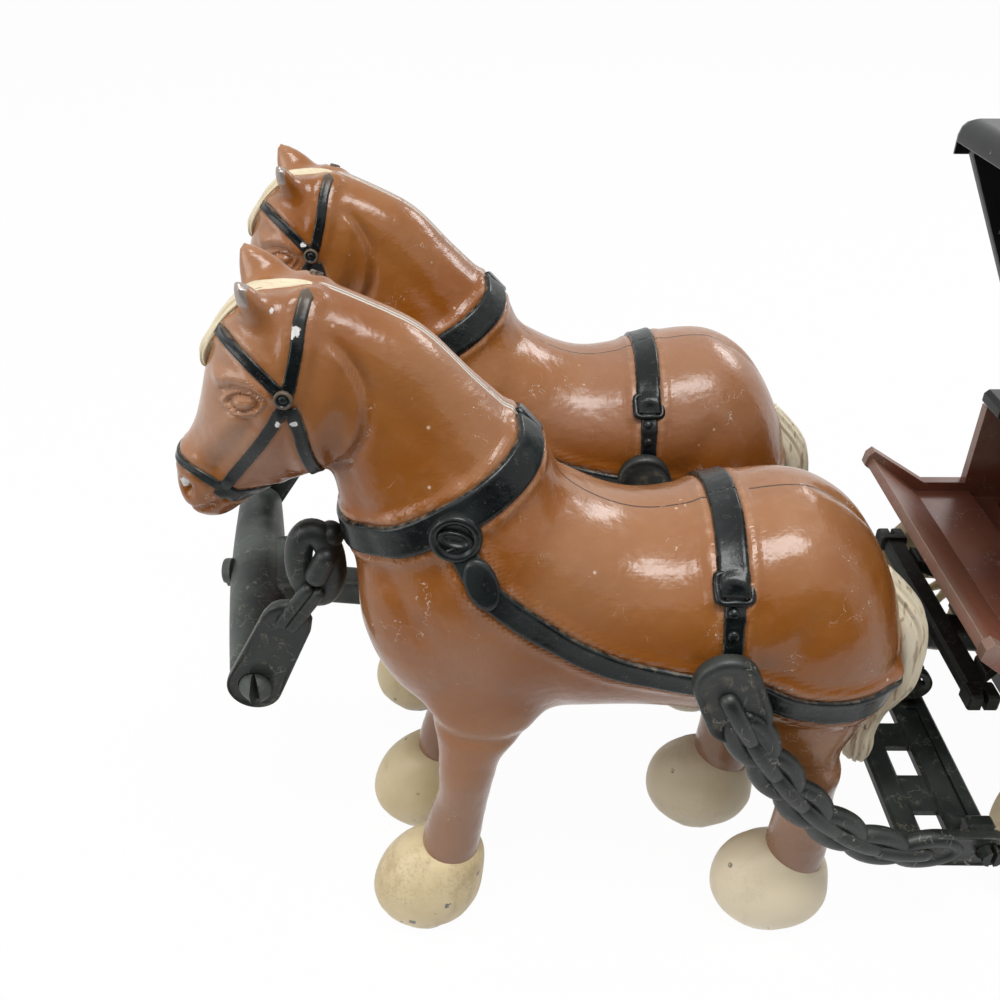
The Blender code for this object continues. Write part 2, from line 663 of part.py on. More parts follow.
def trace_route(start, end, count):
    """Points of a hanging chain: a straight run from start to end, let down by a parabola."""
    share = np.linspace(0.0, 1.0, count)[:, None]
    line = np.array(start) * (1 - share) + np.array(end) * share
    line[:, 2] -= TRACE_SAG * 4 * (share * (1 - share))[:, 0]
    return line


def make_trace(name, horse_x, horse_y, side, peg_y, peg_z):
    """Moulded trace chain from the oval pad on the horse's side back to a peg of the evener."""
    y = horse_y + side * PAD_OUT
    length = np.hypot(*PAD_SLANT)
    half = (length - PAD_RADIUS) / 2
    ux, uz = PAD_SLANT[0] / length, PAD_SLANT[1] / length
    cx, cz = horse_x + PAD_CENTRE[0], PAD_CENTRE[1]
    pad = plate(oval_outline((cx - ux * half, cz - uz * half), (cx + ux * half, cz + uz * half), PAD_RADIUS),
                *sorted((y - side * 0.9, y + side * 1.1)))
    start = (cx + ux * half, y + side * 0.2, cz + uz * half)
    end = (PEG_X - 7.0, peg_y, peg_z + 0.3)
    route = trace_route(start, end, TRACE_LINKS + 1)
    pieces = []
    for i, (a, b) in enumerate(zip(route, route[1:])):
        wide, thin = ((6.2, 2.6), (4.2, 3.4))[i % 2]
        pieces.append(capsule((a + b) / 2, b - a, np.linalg.norm(b - a) * 1.55, wide, thin))
    flat = plate(oval_outline((end[0] - 1.0, end[2]), (PEG_X, peg_z), 3.0),
                 peg_y - 0.8, peg_y + 0.8)
    chain = combined(pad, [*pieces, flat])
    eye = rod((PEG_X, peg_y - 4, peg_z), (PEG_X, peg_y + 4, peg_z), PEG_RADIUS + GAP, sides=10)
    finish(combined(chain, [eye], "DIFFERENCE"), name, "black_plastic")


def make_traces():
    for word, side, lead in (("near", -1, 0.0), ("off", 1, OFF_HORSE_LEAD)):
        x = -POLL_TO_ORIGIN - lead
        y = side * HORSE_Y
        make_trace(f"{word}_outer_trace", x, y, side, side * OUTER_PEG_Y, PEG_Z)
        make_trace(f"{word}_inner_trace", x, y, -side, side * INNER_PEG_Y, INNER_PEG_Z)


# Front gear: splinter bar, hounds, bolster, kingpin
def make_front_gear():
    splinter = box(SPLINTER_X, (-SPLINTER_HALF + 0.5, SPLINTER_HALF - 0.5), SPLINTER_Z, 0.5)
    ends, slits = [], []
    for side in (-1, 1):
        low, high = sorted((side * SPLINTER_HALF, side * (SPLINTER_HALF - SPLINTER_END)))
        ends.append(box((SPLINTER_X[0] - 0.6, SPLINTER_X[1] + 0.6), (low, high),
                        (SPLINTER_Z[0], SPLINTER_Z[1] + 0.4), 0.4))
        low, high = sorted((side * (SPLINTER_HALF - 2.2), side * (SPLINTER_HALF + 1)))
        middle = sum(SPLINTER_X) / 2
        slits.append(box((middle - 0.4, middle + 0.4), (low, high), (SPLINTER_Z[0] - 1, SPLINTER_Z[1] + 1)))
    splinter = combined(combined(splinter, ends), slits, "DIFFERENCE")
    finish(splinter, "splinter_bar", "black_plastic")
    for side, word in ((-1, "near"), (1, "off")):
        ahead, behind = (SPLINTER_X[1] + GAP, side * 15.0), (KINGPIN_X - BOLSTER_HALF_X - GAP, side * 3.8)
        outline = [(ahead[0], ahead[1] - HOUND_HALF), (behind[0], behind[1] - HOUND_HALF),
                   (behind[0], behind[1] + HOUND_HALF), (ahead[0], ahead[1] + HOUND_HALF)]
        hound = plate(outline, SPLINTER_Z[0], BOLSTER_TOP - 0.6, "XY")
        finish(hound, f"{word}_hound", "black_plastic")
    low = FRONT_WHEEL_RADIUS - 3.4
    window = (low + 7.0, low + 11.4)
    bolster = box((KINGPIN_X - BOLSTER_HALF_X, KINGPIN_X + BOLSTER_HALF_X), (-BOLSTER_HALF_Y, BOLSTER_HALF_Y),
                  (low, BOLSTER_TOP), 0.6)
    cuts = [box((KINGPIN_X - 9, KINGPIN_X + 9), (-12, 12), window),
            rod((KINGPIN_X, -30, FRONT_WHEEL_RADIUS), (KINGPIN_X, 30, FRONT_WHEEL_RADIUS),
                AXLE_RADIUS + GAP, sides=12),
            rod((KINGPIN_X, 0, window[1] - 2), (KINGPIN_X, 0, 45), 1.8, sides=12)]
    finish(combined(bolster, cuts, "DIFFERENCE"), "front_bolster", "black_plastic")
    head = window[1] - GAP - 2.0
    kingpin = combined(rod((KINGPIN_X, 0, head + 1.0), (KINGPIN_X, 0, FLOOR_BOTTOM - GAP), 1.5, sides=12),
                       [rod((KINGPIN_X, 0, head), (KINGPIN_X, 0, head + 2.0), 3.4, sides=12)])
    finish(kingpin, "kingpin", "steel")


# Wheels, axles and push nuts
def make_wheel(name, x, side, radius, spokes):
    centre = (x, side * WHEEL_Y, radius)
    half = RIM_WIDTH / 2
    edge = 0.5
    rim = turned([(radius - edge, half), (radius, half - edge), (radius, edge - half), (radius - edge, -half),
                  (radius - RIM_DEPTH, -half), (radius - RIM_DEPTH, half)], centre, (0, 1, 0), 28)
    hub = rod((x, centre[1] - HUB_HALF, radius), (x, centre[1] + HUB_HALF, radius), HUB_RADIUS)
    arms = []
    for i in range(spokes):
        a = 2 * pi * i / spokes
        inner, outer = HUB_RADIUS - 0.4, radius - RIM_DEPTH + 1.0
        arms.append(rod((x + inner * cos(a), centre[1], radius + inner * sin(a)),
                        (x + outer * cos(a), centre[1], radius + outer * sin(a)), 0.85, 1.2, sides=5))
    wheel = combined(rim, [joined(arms)])
    wheel = combined(wheel, [hub])
    bore = rod((x, centre[1] - 5, radius), (x, centre[1] + 5, radius), AXLE_RADIUS + GAP, sides=12)
    pivoted(finish(combined(wheel, [bore], "DIFFERENCE"), name, "cream_plastic"), centre)


def make_running_gear():
    for word, x, radius, spokes in (("front", KINGPIN_X, FRONT_WHEEL_RADIUS, FRONT_SPOKES),
                                    ("rear", REAR_AXLE_X, REAR_WHEEL_RADIUS, REAR_SPOKES)):
        make_wheel(f"{word}_left_wheel", x, -1, radius, spokes)
        make_wheel(f"{word}_right_wheel", x, 1, radius, spokes)
        axle = rod((x, -AXLE_HALF, radius), (x, AXLE_HALF, radius), AXLE_RADIUS, sides=12)
        finish(axle, f"{word}_axle", "steel")
        hub_face = WHEEL_Y + HUB_HALF
        for side, place in ((-1, "left"), (1, "right")):
            nut = turned([(2.6, 0.0), (2.6, 1.4), (AXLE_RADIUS + GAP, 1.4), (AXLE_RADIUS + GAP, 0.0)],
                         (x, side * (hub_face + GAP), radius), (0, side, 0), 12)
            finish(nut, f"{word}_{place}_push_nut", "steel")
    half = 5.0
    rear = box((REAR_AXLE_X - half, REAR_AXLE_X + half), (-BOLSTER_HALF_Y, BOLSTER_HALF_Y),
               (REAR_WHEEL_RADIUS - 3.6, BOLSTER_TOP), 0.6)
    cut = rod((REAR_AXLE_X, -30, REAR_WHEEL_RADIUS), (REAR_AXLE_X, 30, REAR_WHEEL_RADIUS),
              AXLE_RADIUS + GAP, sides=12)
    finish(combined(rear, [cut], "DIFFERENCE"), "rear_bolster", "black_plastic")


SCREW_PLACES = ((13.0, -9.0), (13.0, 9.0), (112.0, -9.0), (112.0, 9.0))
CHASSIS_X = (-8.0, 120.0)
CHASSIS_Z = (36.5, 39.1)


def make_chassis():
    plate_piece = box(CHASSIS_X, (-14.0, 14.0), CHASSIS_Z, 0.4)
    holes = [rod((KINGPIN_X, 0, 30), (KINGPIN_X, 0, 50), 1.8, sides=12)]
    holes += [rod((x, y, 30), (x, y, 50), 1.5, sides=10) for x, y in SCREW_PLACES]
    finish(combined(plate_piece, holes, "DIFFERENCE"), "chassis_plate", "black_plastic")
    for number, (x, y) in enumerate(SCREW_PLACES, start=1):
        shank = rod((x, y, CHASSIS_Z[0] - 0.5), (x, y, CHASSIS_Z[1]), 1.2, sides=10)
        head = rod((x, y, CHASSIS_Z[0] - 1.5), (x, y, CHASSIS_Z[0] - GAP), 2.2, sides=10)
        finish(combined(shank, [head]), f"chassis_screw_{number}", "steel")


# Wagon body, seat, sides, bulkhead and roof
def make_wagon_body():
    inner = BODY_HALF - BOARD
    tip, foot = TOE_TIP, TOE_FOOT
    lap = 0.2
    floor = [tip, foot, (STEP_X, foot[1]), (STEP_X, FLOOR_TOP), (BODY_REAR - 1.0, FLOOR_TOP),
             (BODY_REAR - 1.0, FLOOR_BOTTOM), (STEP_X - 1.4, FLOOR_BOTTOM), (STEP_X - 1.9, foot[1] - 1.6),
             (foot[0] - 0.6, foot[1] - 1.6), (tip[0] - 0.9, tip[1] - 1.3)]
    side = [(tip[0] - 1.3, tip[1] - 1.4), (tip[0] - 1.0, tip[1] + 0.6), (tip[0], tip[1] + 1.6),
            (foot[0] + 1.0, LIP_TOP), (BOARD_FRONT_X, LIP_TOP), (BOARD_FRONT_X, BOARD_TOP),
            (BODY_REAR, BOARD_TOP), (BODY_REAR, FLOOR_BOTTOM - lap), (STEP_X - 1.4 - lap, FLOOR_BOTTOM - lap),
            (STEP_X - 1.9 - lap, foot[1] - 1.6 - lap), (foot[0] - 0.6 - lap, foot[1] - 1.6 - lap)]
    body = plate(floor, -inner - 0.3, inner + 0.3)
    sides = [plate(side, inner, BODY_HALF), plate(side, -BODY_HALF, -inner)]
    sill = box((BODY_REAR - 2.0, BODY_REAR - 0.2), (-inner - 0.4, inner + 0.4), (FLOOR_BOTTOM + 0.4, 46.0))
    finish(combined(body, [*sides, sill]), "wagon_body", "maroon_enamel")


def make_seat():
    wide = PANEL_Y[0] - GAP
    bench = box((-5.0, 13.5), (-wide, wide), (58.4, 61.2), 0.4)
    back = box((12.0, 13.8), (-wide, wide), (60.0, 73.0), 0.4)
    aprons = [box((-4.4, -2.8), (-wide + 1, wide - 1), (FLOOR_TOP + GAP, 59.0)),
              box((10.6, 12.2), (-wide + 1, wide - 1), (FLOOR_TOP + GAP, 59.0))]
    tabs = []
    for side in (-1, 1):
        low, high = sorted((side * 19.0, side * (BODY_HALF - 0.2)))
        tabs.append(box((-10.8, -4.2), (low, high), (BOARD_TOP + GAP, 62.8), 0.8))
    finish(combined(bench, [back, *aprons, *tabs]), "seat", "black_plastic")


def make_cargo_box():
    outline = [(-25.2, PANEL_TOP), (-24.8, 103.5), (-13.3, 80.8), (-2.6, 59.5), (6.8, FLOOR_TOP + GAP),
               (BODY_REAR - 6.0, FLOOR_TOP + GAP), (BODY_REAR - 6.0, PANEL_TOP)]
    for side, word in ((-1, "left"), (1, "right")):
        low, high = sorted((side * PANEL_Y[0], side * PANEL_Y[1]))
        finish(plate(outline, low, high), f"{word}_side_panel", "black_enamel")
    wide = PANEL_Y[0] - GAP
    finish(box(BULKHEAD_X, (-wide, wide), (FLOOR_TOP + GAP, PANEL_TOP)), "money_box_bulkhead", "black_enamel")
    frame = box(FRAME_X, (-wide, wide), (FLOOR_TOP + GAP, PANEL_TOP))
    opening = box((FRAME_X[0] - 2, FRAME_X[1] + 2), (-18.0, 18.0), (47.0, 100.0))
    frame = combined(frame, [opening], "DIFFERENCE")
    hx, hy = DOOR_HINGE
    lugs = []
    for low, high in ((53.0, 57.7), (92.3, 97.0)):
        lugs.append(box((FRAME_X[0] + 0.4, hx), (hy - 1.4, hy + 1.4), (low, high)))
        lugs.append(rod((hx, hy, low), (hx, hy, high), 2.0, sides=12))
    frame = combined(frame, lugs)
    bore = rod((hx, hy, 46.0), (hx, hy, 102.0), 1.2, sides=12)
    finish(combined(frame, [bore], "DIFFERENCE"), "rear_frame", "black_enamel")
    finish(rod((hx, hy, 52.6), (hx, hy, 97.4), 0.9, sides=12), "door_hinge_pin", "steel")


def make_roof():
    x, z = ROOF_X, ROOF_Z
    roof = box(x, (-ROOF_HALF, ROOF_HALF), z)
    bevel = roof.modifiers.new("rounded_top", "BEVEL")
    bevel.width = 2.6 * MM
    bevel.segments = 3
    bevel.limit_method = "WEIGHT"
    weights = roof.data.attributes.new("bevel_weight_edge", "FLOAT", "EDGE")
    for edge in roof.data.edges:
        ends = [roof.data.vertices[i].co for i in edge.vertices]
        top = all(end.z > (z[1] - 0.1) * MM for end in ends)
        corner = abs(ends[0].z - ends[1].z) > 0.1 * MM
        weights.data[edge.index].value = 1.0 if top or corner else 0.0
    inner = box((x[0] + ROOF_WALL, x[1] - ROOF_WALL), (-ROOF_HALF + ROOF_WALL, ROOF_HALF - ROOF_WALL),
                (z[0] - 3, z[1] - ROOF_WALL))
    mouth = box((x[0] - 2, x[0] + 4), (-ROOF_HALF + ROOF_WALL, ROOF_HALF - ROOF_WALL), (z[0] - 3, z[0] + 2.0))
    slot = box((SLOT_X - SLOT_SIZE[0] / 2, SLOT_X + SLOT_SIZE[0] / 2), (-SLOT_SIZE[1] / 2, SLOT_SIZE[1] / 2),
               (z[1] - 4, z[1] + 3))
    finish(combined(roof, [inner, mouth, slot], "DIFFERENCE"), "roof", "black_enamel")


# Rear door with its lock
def make_door():
    hx, hy = DOOR_HINGE
    door = box(DOOR_X, (-19.4, 19.6), (46.6, 102.4), 0.4)
    sunk = (DOOR_X[1] - 0.5, DOOR_X[1] + 1.0)
    panels = [box(sunk, (-14.0, 14.0), height) for height in ((51.0, 66.0), (82.0, 97.0))]
    door = combined(door, panels, "DIFFERENCE")
    knuckle = rod((hx, hy, 58.0), (hx, hy, 92.0), 2.0, sides=12)
    arm = box((DOOR_X[0] + 0.3, hx - 0.2), (hy, -18.6), (58.0, 92.0))
    door = combined(door, [knuckle, arm])
    holes = [rod((hx, hy, 56.0), (hx, hy, 94.0), 1.2, sides=12),
             rod((DOOR_X[0] - 2, LOCK_Y, LOCK_Z), (DOOR_X[1] + 3, LOCK_Y, LOCK_Z), 3.5, sides=16)]
    door = finish(combined(door, holes, "DIFFERENCE"), "coin_door", "black_enamel")
    pivoted(door, (hx, hy, 0.0))
    cam_x = FRAME_X[0] - 1.9
    barrel = rod((cam_x, LOCK_Y, LOCK_Z), (DOOR_X[1] + 0.6, LOCK_Y, LOCK_Z), 3.2, sides=16)
    head = rod((DOOR_X[1] + GAP, LOCK_Y, LOCK_Z), (DOOR_X[1] + 1.6, LOCK_Y, LOCK_Z), 4.4, sides=16)
    cam = box((cam_x, cam_x + 1.6), (LOCK_Y - 2.0, LOCK_Y + 2.0), (LOCK_Z - 2, LOCK_Z + 9.5), 0.3)
    lock = combined(barrel, [head, cam])
    keyway = box((DOOR_X[1] - 1.5, DOOR_X[1] + 3), (LOCK_Y - 0.4, LOCK_Y + 0.4), (LOCK_Z - 2.2, LOCK_Z + 2.2))
    lock = finish(combined(lock, [keyway], "DIFFERENCE"), "door_lock", "steel")
    pivoted(lock, (DOOR_X[1], LOCK_Y, LOCK_Z))


FIXED_TO_WAGON = ("rear_", "chassis_", "wagon_body", "seat", "left_side_panel", "right_side_panel",
                  "money_box_bulkhead", "roof", "coin_door", "door_")


def join_front_gear():
    """The team, its pole and the front wheels all steer together about the kingpin."""
    turning = [obj for obj in PARTS.objects if not obj.name.startswith(FIXED_TO_WAGON)]
    carried(turning, "front_gear", (KINGPIN_X, 0.0, 0.0))


make_horses()
make_yoke()
make_yoke_strap("near_yoke_strap", -POLL_TO_ORIGIN, -1)
make_yoke_strap("off_yoke_strap", -POLL_TO_ORIGIN - OFF_HORSE_LEAD, 1)
make_pole()
make_evener()
make_traces()
make_front_gear()
make_running_gear()
make_chassis()
make_wagon_body()
make_seat()
make_cargo_box()
make_roof()
make_door()
join_front_gear()
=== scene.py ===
"""Horse and wagon coin bank: a die-cast team of two draught horses and a delivery wagon."""
from math import pi, radians

import bmesh
import bpy
import numpy as np
from mathutils import Matrix, Vector


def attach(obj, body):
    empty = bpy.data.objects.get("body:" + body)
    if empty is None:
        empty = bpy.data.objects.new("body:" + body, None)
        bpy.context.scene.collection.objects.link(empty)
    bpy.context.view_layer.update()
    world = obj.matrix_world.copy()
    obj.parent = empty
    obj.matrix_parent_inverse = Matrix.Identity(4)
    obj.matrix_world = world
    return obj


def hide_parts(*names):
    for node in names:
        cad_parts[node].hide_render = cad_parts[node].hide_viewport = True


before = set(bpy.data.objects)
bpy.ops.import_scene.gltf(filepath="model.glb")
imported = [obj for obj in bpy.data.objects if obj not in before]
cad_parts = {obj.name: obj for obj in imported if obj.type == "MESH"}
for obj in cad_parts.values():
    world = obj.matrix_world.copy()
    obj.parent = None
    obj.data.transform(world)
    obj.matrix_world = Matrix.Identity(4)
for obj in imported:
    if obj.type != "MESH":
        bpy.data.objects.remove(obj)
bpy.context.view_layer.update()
MM = 0.001


# Studio. A pale table under one large soft lamp and two weak ones, in a white room. The camera
# stands ahead of the team's near side and looks across it from a little above the roof.
TABLE_HALF = 3
TABLE_FRONT = -0.175
TABLE_SHOWS_WHITE = 0.97
CAMERA_PLACE = (-96.32, -132.42, 141.95)
CAMERA_DIP, CAMERA_ROLL = 32.9, 0.19
LAMPS = (
    ("soft_box", (-30, -190, 620), (-60, 0, 60), 420, 2.8),
    ("side_lamp", (-520, -230, 260), (-60, 0, 50), 420, 0.8),
    ("back_lamp", (330, 420, 420), (0, 0, 50), 300, 1),
)
ROOM_LIGHT = 0.37
DARK_HALF, DARK_ROWS = 0.9, ((-0.178, -0.002), (-0.76, -0.002), (-0.76, 0.43))
WHITE = (1, 1, 1, 1)

scene = bpy.context.scene
scene.view_settings.view_transform = "Standard"


def added(name, data):
    """A new object in the scene."""
    thing = bpy.data.objects.new(name, data)
    scene.collection.objects.link(thing)
    return thing


camera_data = bpy.data.cameras.new("camera")
camera_data.lens = camera_data.sensor_width = 36
camera_data.clip_start = 0.001
scene.camera = added("camera", camera_data)
scene.camera.matrix_world = (Matrix.Translation(Vector(CAMERA_PLACE) * MM)
                             @ Matrix.Rotation(pi / 2 - radians(CAMERA_DIP), 4, "X")
                             @ Matrix.Rotation(radians(CAMERA_ROLL), 4, "Z"))

for lamp_name, place, target, size, watts in LAMPS:
    lamp_data = bpy.data.lights.new(lamp_name, "AREA")
    lamp_data.shape = "ELLIPSE"
    lamp_data.size, lamp_data.size_y = size * MM, 0.5 * size * MM
    lamp_data.energy = watts
    lamp = added(lamp_name, lamp_data)
    lamp.location = Vector(place) * MM
    lamp.rotation_euler = (Vector(place) - Vector(target)).to_track_quat("Z", "Y").to_euler()


class Value:
    """A socket of a shader, whose sums and products with numbers or others add Math nodes."""

    def __init__(self, finish, socket):
        self.finish, self.socket = finish, socket

    def math(self, operation, *others):
        operands = dict(enumerate((self, *others)))
        return self.finish.node("ShaderNodeMath", {"operation": operation}, operands)

    def __add__(self, other):
        return self.math("ADD", other)

    def __mul__(self, other):
        return self.math("MULTIPLY", other)

    def __sub__(self, other):
        return self.math("SUBTRACT", other)

    def __rsub__(self, other):
        return self.finish.node("ShaderNodeMath", {"operation": "SUBTRACT"}, {0: other, 1: self})

    def clamp(self):
        return self.finish.node("ShaderNodeClamp", {}, {"Value": self})

    def rise(self, low, high):
        """0 below low and 1 above high, with an even curve between. It falls where low is the larger."""
        if low > high:
            return 1 - self.rise(high, low)
        return self.finish.node("ShaderNodeMapRange", {"interpolation_type": "SMOOTHSTEP"},
                                {"Value": self, "From Min": low, "From Max": high})


class Finish:
    """One surface finish: a Principled shader with constants, and nodes added by name.

    Its patterns are laid in millimetres from centre and moved on by shift, so that no two are alike.
    """

    def __init__(self, name, centre=(0, 0, 0), shift=0, **constants):
        self.shift = shift
        self.material = bpy.data.materials.new(name)
        self.material.use_nodes = True
        self.tree = self.material.node_tree
        self.shader = self.tree.nodes["Principled BSDF"]
        for key, value in constants.items():
            self.shader.inputs[key.replace("_", " ").title().replace("Ior", "IOR")].default_value = value
        self.place = self.node("ShaderNodeTexCoord", {}, {}, "Object")
        self.place = self.moved(tuple(-c for c in centre), (1 / MM,) * 3)

    def node(self, kind, settings, sockets, output=0):
        """Any node: its settings, then its sockets' values or links."""
        node = self.tree.nodes.new(kind)
        for key, value in settings.items():
            setattr(node, key, value)
        for key, value in sockets.items():
            if isinstance(value, Value):
                self.tree.links.new(value.socket, node.inputs[key])
            else:
                node.inputs[key].default_value = value
        return Value(self, node.outputs[output])

    def moved(self, location, scale=(1, 1, 1)):
        """The place on the surface, scaled and then moved."""
        sockets = {"Vector": self.place, "Scale": scale, "Location": location}
        return self.node("ShaderNodeMapping", {}, sockets)

    def noise(self, per_mm, detail=3, shift=0, stretch=(1, 1, 1)):
        """Cloudy noise from 0 to 1, with per_mm waves in a millimetre, drawn out by stretch."""
        shift += self.shift
        vector = self.moved((shift, shift * 0.7, -shift), stretch)
        return self.node("ShaderNodeTexNoise", {}, {"Vector": vector, "Scale": per_mm, "Detail": detail})

    def noises(self, *rows):
        return [self.noise(*row) for row in rows]

    def cells(self, per_mm, feature="F1", bend=0):
        """Distance to the cells' middles, or to their edges, with the coordinates bent by a noise."""
        vector = self.moved((self.shift,) * 3)
        if bend:
            wave = self.node("ShaderNodeTexNoise", {}, {"Vector": vector, "Scale": 0.4}, "Color")
            vector = self.node("ShaderNodeVectorMath", {"operation": "MULTIPLY_ADD"},
                               {0: wave, 1: (bend,) * 3, 2: vector})
        return self.node("ShaderNodeTexVoronoi", {"feature": feature}, {"Vector": vector, "Scale": per_mm},
                         "Distance")

    def cracks(self, per_mm, bend, low, high):
        """1 along fine bent lines, the edges of cells, and 0 beside them."""
        return self.cells(per_mm, "DISTANCE_TO_EDGE", bend).rise(low, high)

    def axes(self):
        """The place on the surface as its three coordinates, in millimetres."""
        return [self.node("ShaderNodeSeparateXYZ", {}, {0: self.place}, name) for name in "XYZ"]

    def mark(self, place, radius):
        """1 about a place, out to radius millimetres, with a ragged edge."""
        flat = (1, 0.3, 1)
        centre = tuple(a * b for a, b in zip(place, flat))
        away = self.node("ShaderNodeVectorMath", {"operation": "DISTANCE"},
                         {0: self.moved((0, 0, 0), flat), 1: centre}, "Value")
        ragged = away + self.noise(1.6, shift=-self.shift) * (2 * radius)
        return ragged.rise(2 * radius, 1.8 * radius)

    def painted(self, name):
        """A number that the mesh carries at each of its points."""
        return self.node("ShaderNodeAttribute", {"attribute_name": name}, {}, "Fac")

    def coats(self, colour, *layers):
        """A colour under layers, each given as the share of the surface that it hides and its colour."""
        for share, layer in layers:
            below, above = ((*c, 1) if isinstance(c, tuple) else c for c in (colour, layer))
            colour = self.node("ShaderNodeMix", {"data_type": "RGBA"}, {0: share, 6: below, 7: above}, 2)
        return colour

    def finish(self, colour, roughness=None, metallic=None, height=None, relief=0.1):
        """Link what varies: colour, roughness, metal, and a height of relief millimetres as a bump."""
        links = {"Base Color": colour, "Roughness": roughness, "Metallic": metallic}
        if height is not None:
            links["Normal"] = self.node("ShaderNodeBump", {}, {"Height": height, "Distance": relief * MM})
        for key, value in links.items():
            if value is not None:
                self.tree.links.new(value.socket, self.shader.inputs[key])
        return self.material


def seen(finish):
    """1 for the rays that the eye, a gloss or a glass sends out, and 0 for those that light a surface."""
    eye, gloss, glass = (finish.node("ShaderNodeLightPath", {}, {}, f"Is {kind} Ray")
                         for kind in ("Camera", "Glossy", "Transmission"))
    return (eye + gloss + glass).clamp()


def sheet(name, corners, faces, finish):
    """A flat sheet of the studio, which is no part of the toy."""
    mesh = bpy.data.meshes.new(name)
    mesh.from_pydata(corners, [], faces)
    mesh.materials.append(finish.material)
    stands = added(name, mesh)
    return stands


pale = Finish("pale_table", base_color=(0.84, 0.84, 0.83, 1), roughness=0.9)
pale.finish(pale.coats((0.82, 0.82, 0.815), (pale.noise(0.02, 2), (0.86, 0.86, 0.855))))
glow = pale.node("ShaderNodeEmission", {}, {"Color": WHITE, "Strength": 1})
lit = Value(pale, pale.shader.outputs[0])
mixed = pale.node("ShaderNodeMixShader", {}, {0: seen(pale) * TABLE_SHOWS_WHITE, 1: lit, 2: glow})
pale.tree.links.new(mixed.socket, pale.tree.nodes["Material Output"].inputs["Surface"])
sheet("table", [(x * TABLE_HALF, y, 0) for y in (TABLE_FRONT, TABLE_HALF) for x in (-1, 1)],
      [(0, 1, 3, 2)], pale)

# The photographer's side of the room is dark, and the enamel shows that where it faces the camera
soot = Finish("dark_cloth", roughness=0.95, specular_ior_level=0.1)
soot.finish(soot.coats((0.05, 0.048, 0.045), (soot.noise(0.02, 2), (0.07, 0.067, 0.06))))
dark_side = sheet("dark_side", [(x * DARK_HALF, y, z) for y, z in DARK_ROWS for x in (-1, 1)],
                  [(0, 1, 3, 2), (2, 3, 5, 4)], soot)
dark_side.visible_camera = False

world = bpy.data.worlds.new("white_room")
scene.world = world
world.use_nodes = True
room = Finish.__new__(Finish)
room.tree = world.node_tree
background = room.tree.nodes["Background"].inputs
room_strength = seen(room) * (1 - ROOM_LIGHT) + ROOM_LIGHT
room.tree.links.new(room_strength.socket, background["Strength"])
background["Color"].default_value = WHITE


# Horse castings. Each horse is two hollow zinc castings met on its middle plane, sprayed with brown
# enamel. Both horses come from one mould. Sizes are millimetres from the poll and from the floor.
POLL_X, HORSE_Y, OFF_LEAD = -118, 23.7, 4.5
LEG_Y = 9.8
# Each side's direction, and how far its front and rear leg are stepped forward
LEADS = {"left": (-1, 0, 0), "right": (1, 2, 7.6)}
CASTING_VOXEL = 0.6

# Sections: front x, z, back x, z, half width, sideways place if not 0, or LEG_Y for a leg
TORSO = (
    (3, 66, 3.2, 54, 6.5), (6, 72, 6, 46, 10.5), (11, 76, 11, 40.5, 13.3),
    (18, 79.5, 18, 39, 14.8), (26, 78, 26, 40, 15.2), (33, 73, 33, 41.6, 15.2),
    (40, 70.6, 40, 42.4, 15.4), (47, 71.6, 47, 42, 16), (55, 73.8, 55, 40, 16.6),
    (62, 74, 62, 38, 16.2), (68.4, 70.2, 68.4, 38, 14.2), (73, 63.4, 73, 40.5, 10.6),
    (75.8, 56.5, 75.8, 45, 5), (76.2, 53, 76.2, 48.5, 1.8))
NECK = (
    (4, 58, 30, 72, 12.8), (1.9, 66.5, 27.6, 80, 11.6), (1, 73.5, 23, 84.8, 9.8),
    (0.4, 79, 18.3, 89.6, 8.3), (-0.6, 84.5, 12.8, 95.4, 7.2), (-3, 91, 6.4, 98.8, 6.2),
    (-5, 96, 1, 101, 4.8))
HEAD = (
    (-6.2, 100.8, 1.6, 100.9, 4.4), (-10.6, 97, 6.2, 95.6, 7.4), (-12.8, 92.4, 7.2, 88.6, 8.7),
    (-14.4, 87.4, 5.2, 82.4, 8.2), (-16, 83.4, -1, 77, 6), (-18.3, 79.8, -6.6, 75.2, 5.2),
    (-19.2, 75.8, -10.6, 72.2, 4.9), (-18.8, 72.4, -13, 70.3, 3.9), (-17.4, 70.8, -14.6, 70, 2.2))
FRONT_LEG = (
    (9, 56, 29, 56, 6.5, 7.4), (11.2, 46, 28.6, 46, 5.6, 8.8), (12.5, 41, 25.8, 41, 4.8, 9.4),
    (13.1, 35.5, 22, 35.5, 4.2, 9.8), (12.7, 28, 20.5, 28, 3.8), (11.2, 22.4, 19.6, 22.4, 3.9),
    (10.1, 17.6, 19, 17.6, 4.3), (10.4, 12, 18.4, 12, 4))
REAR_LEG = (
    (47, 56, 74.4, 56, 8, 7.6), (49.5, 48, 74, 48, 7.2, 8.2), (53, 42.5, 71.6, 42.5, 6, 9),
    (57.6, 38, 69.4, 38, 5, 9.6), (60.6, 33, 69.8, 33, 4.4), (62, 26.8, 70.2, 26.8, 4),
    (62.3, 22.8, 70.9, 22.8, 3.9), (61.9, 16, 71.2, 16, 4.2), (62.2, 10, 70.8, 10, 4))
LEFT_EAR = (
    (-6.2, 97, -2.2, 98.8, 1.9, 4.6), (-7.3, 99.8, -3.9, 100.7, 1.8, 5.1),
    (-7.7, 101.8, -4.9, 102.2, 1.4, 5.5),
    (-7.4, 103, -5.8, 103, 0.9, 5.7), (-6.9, 103.6, -6.4, 103.5, 0.3, 5.8))
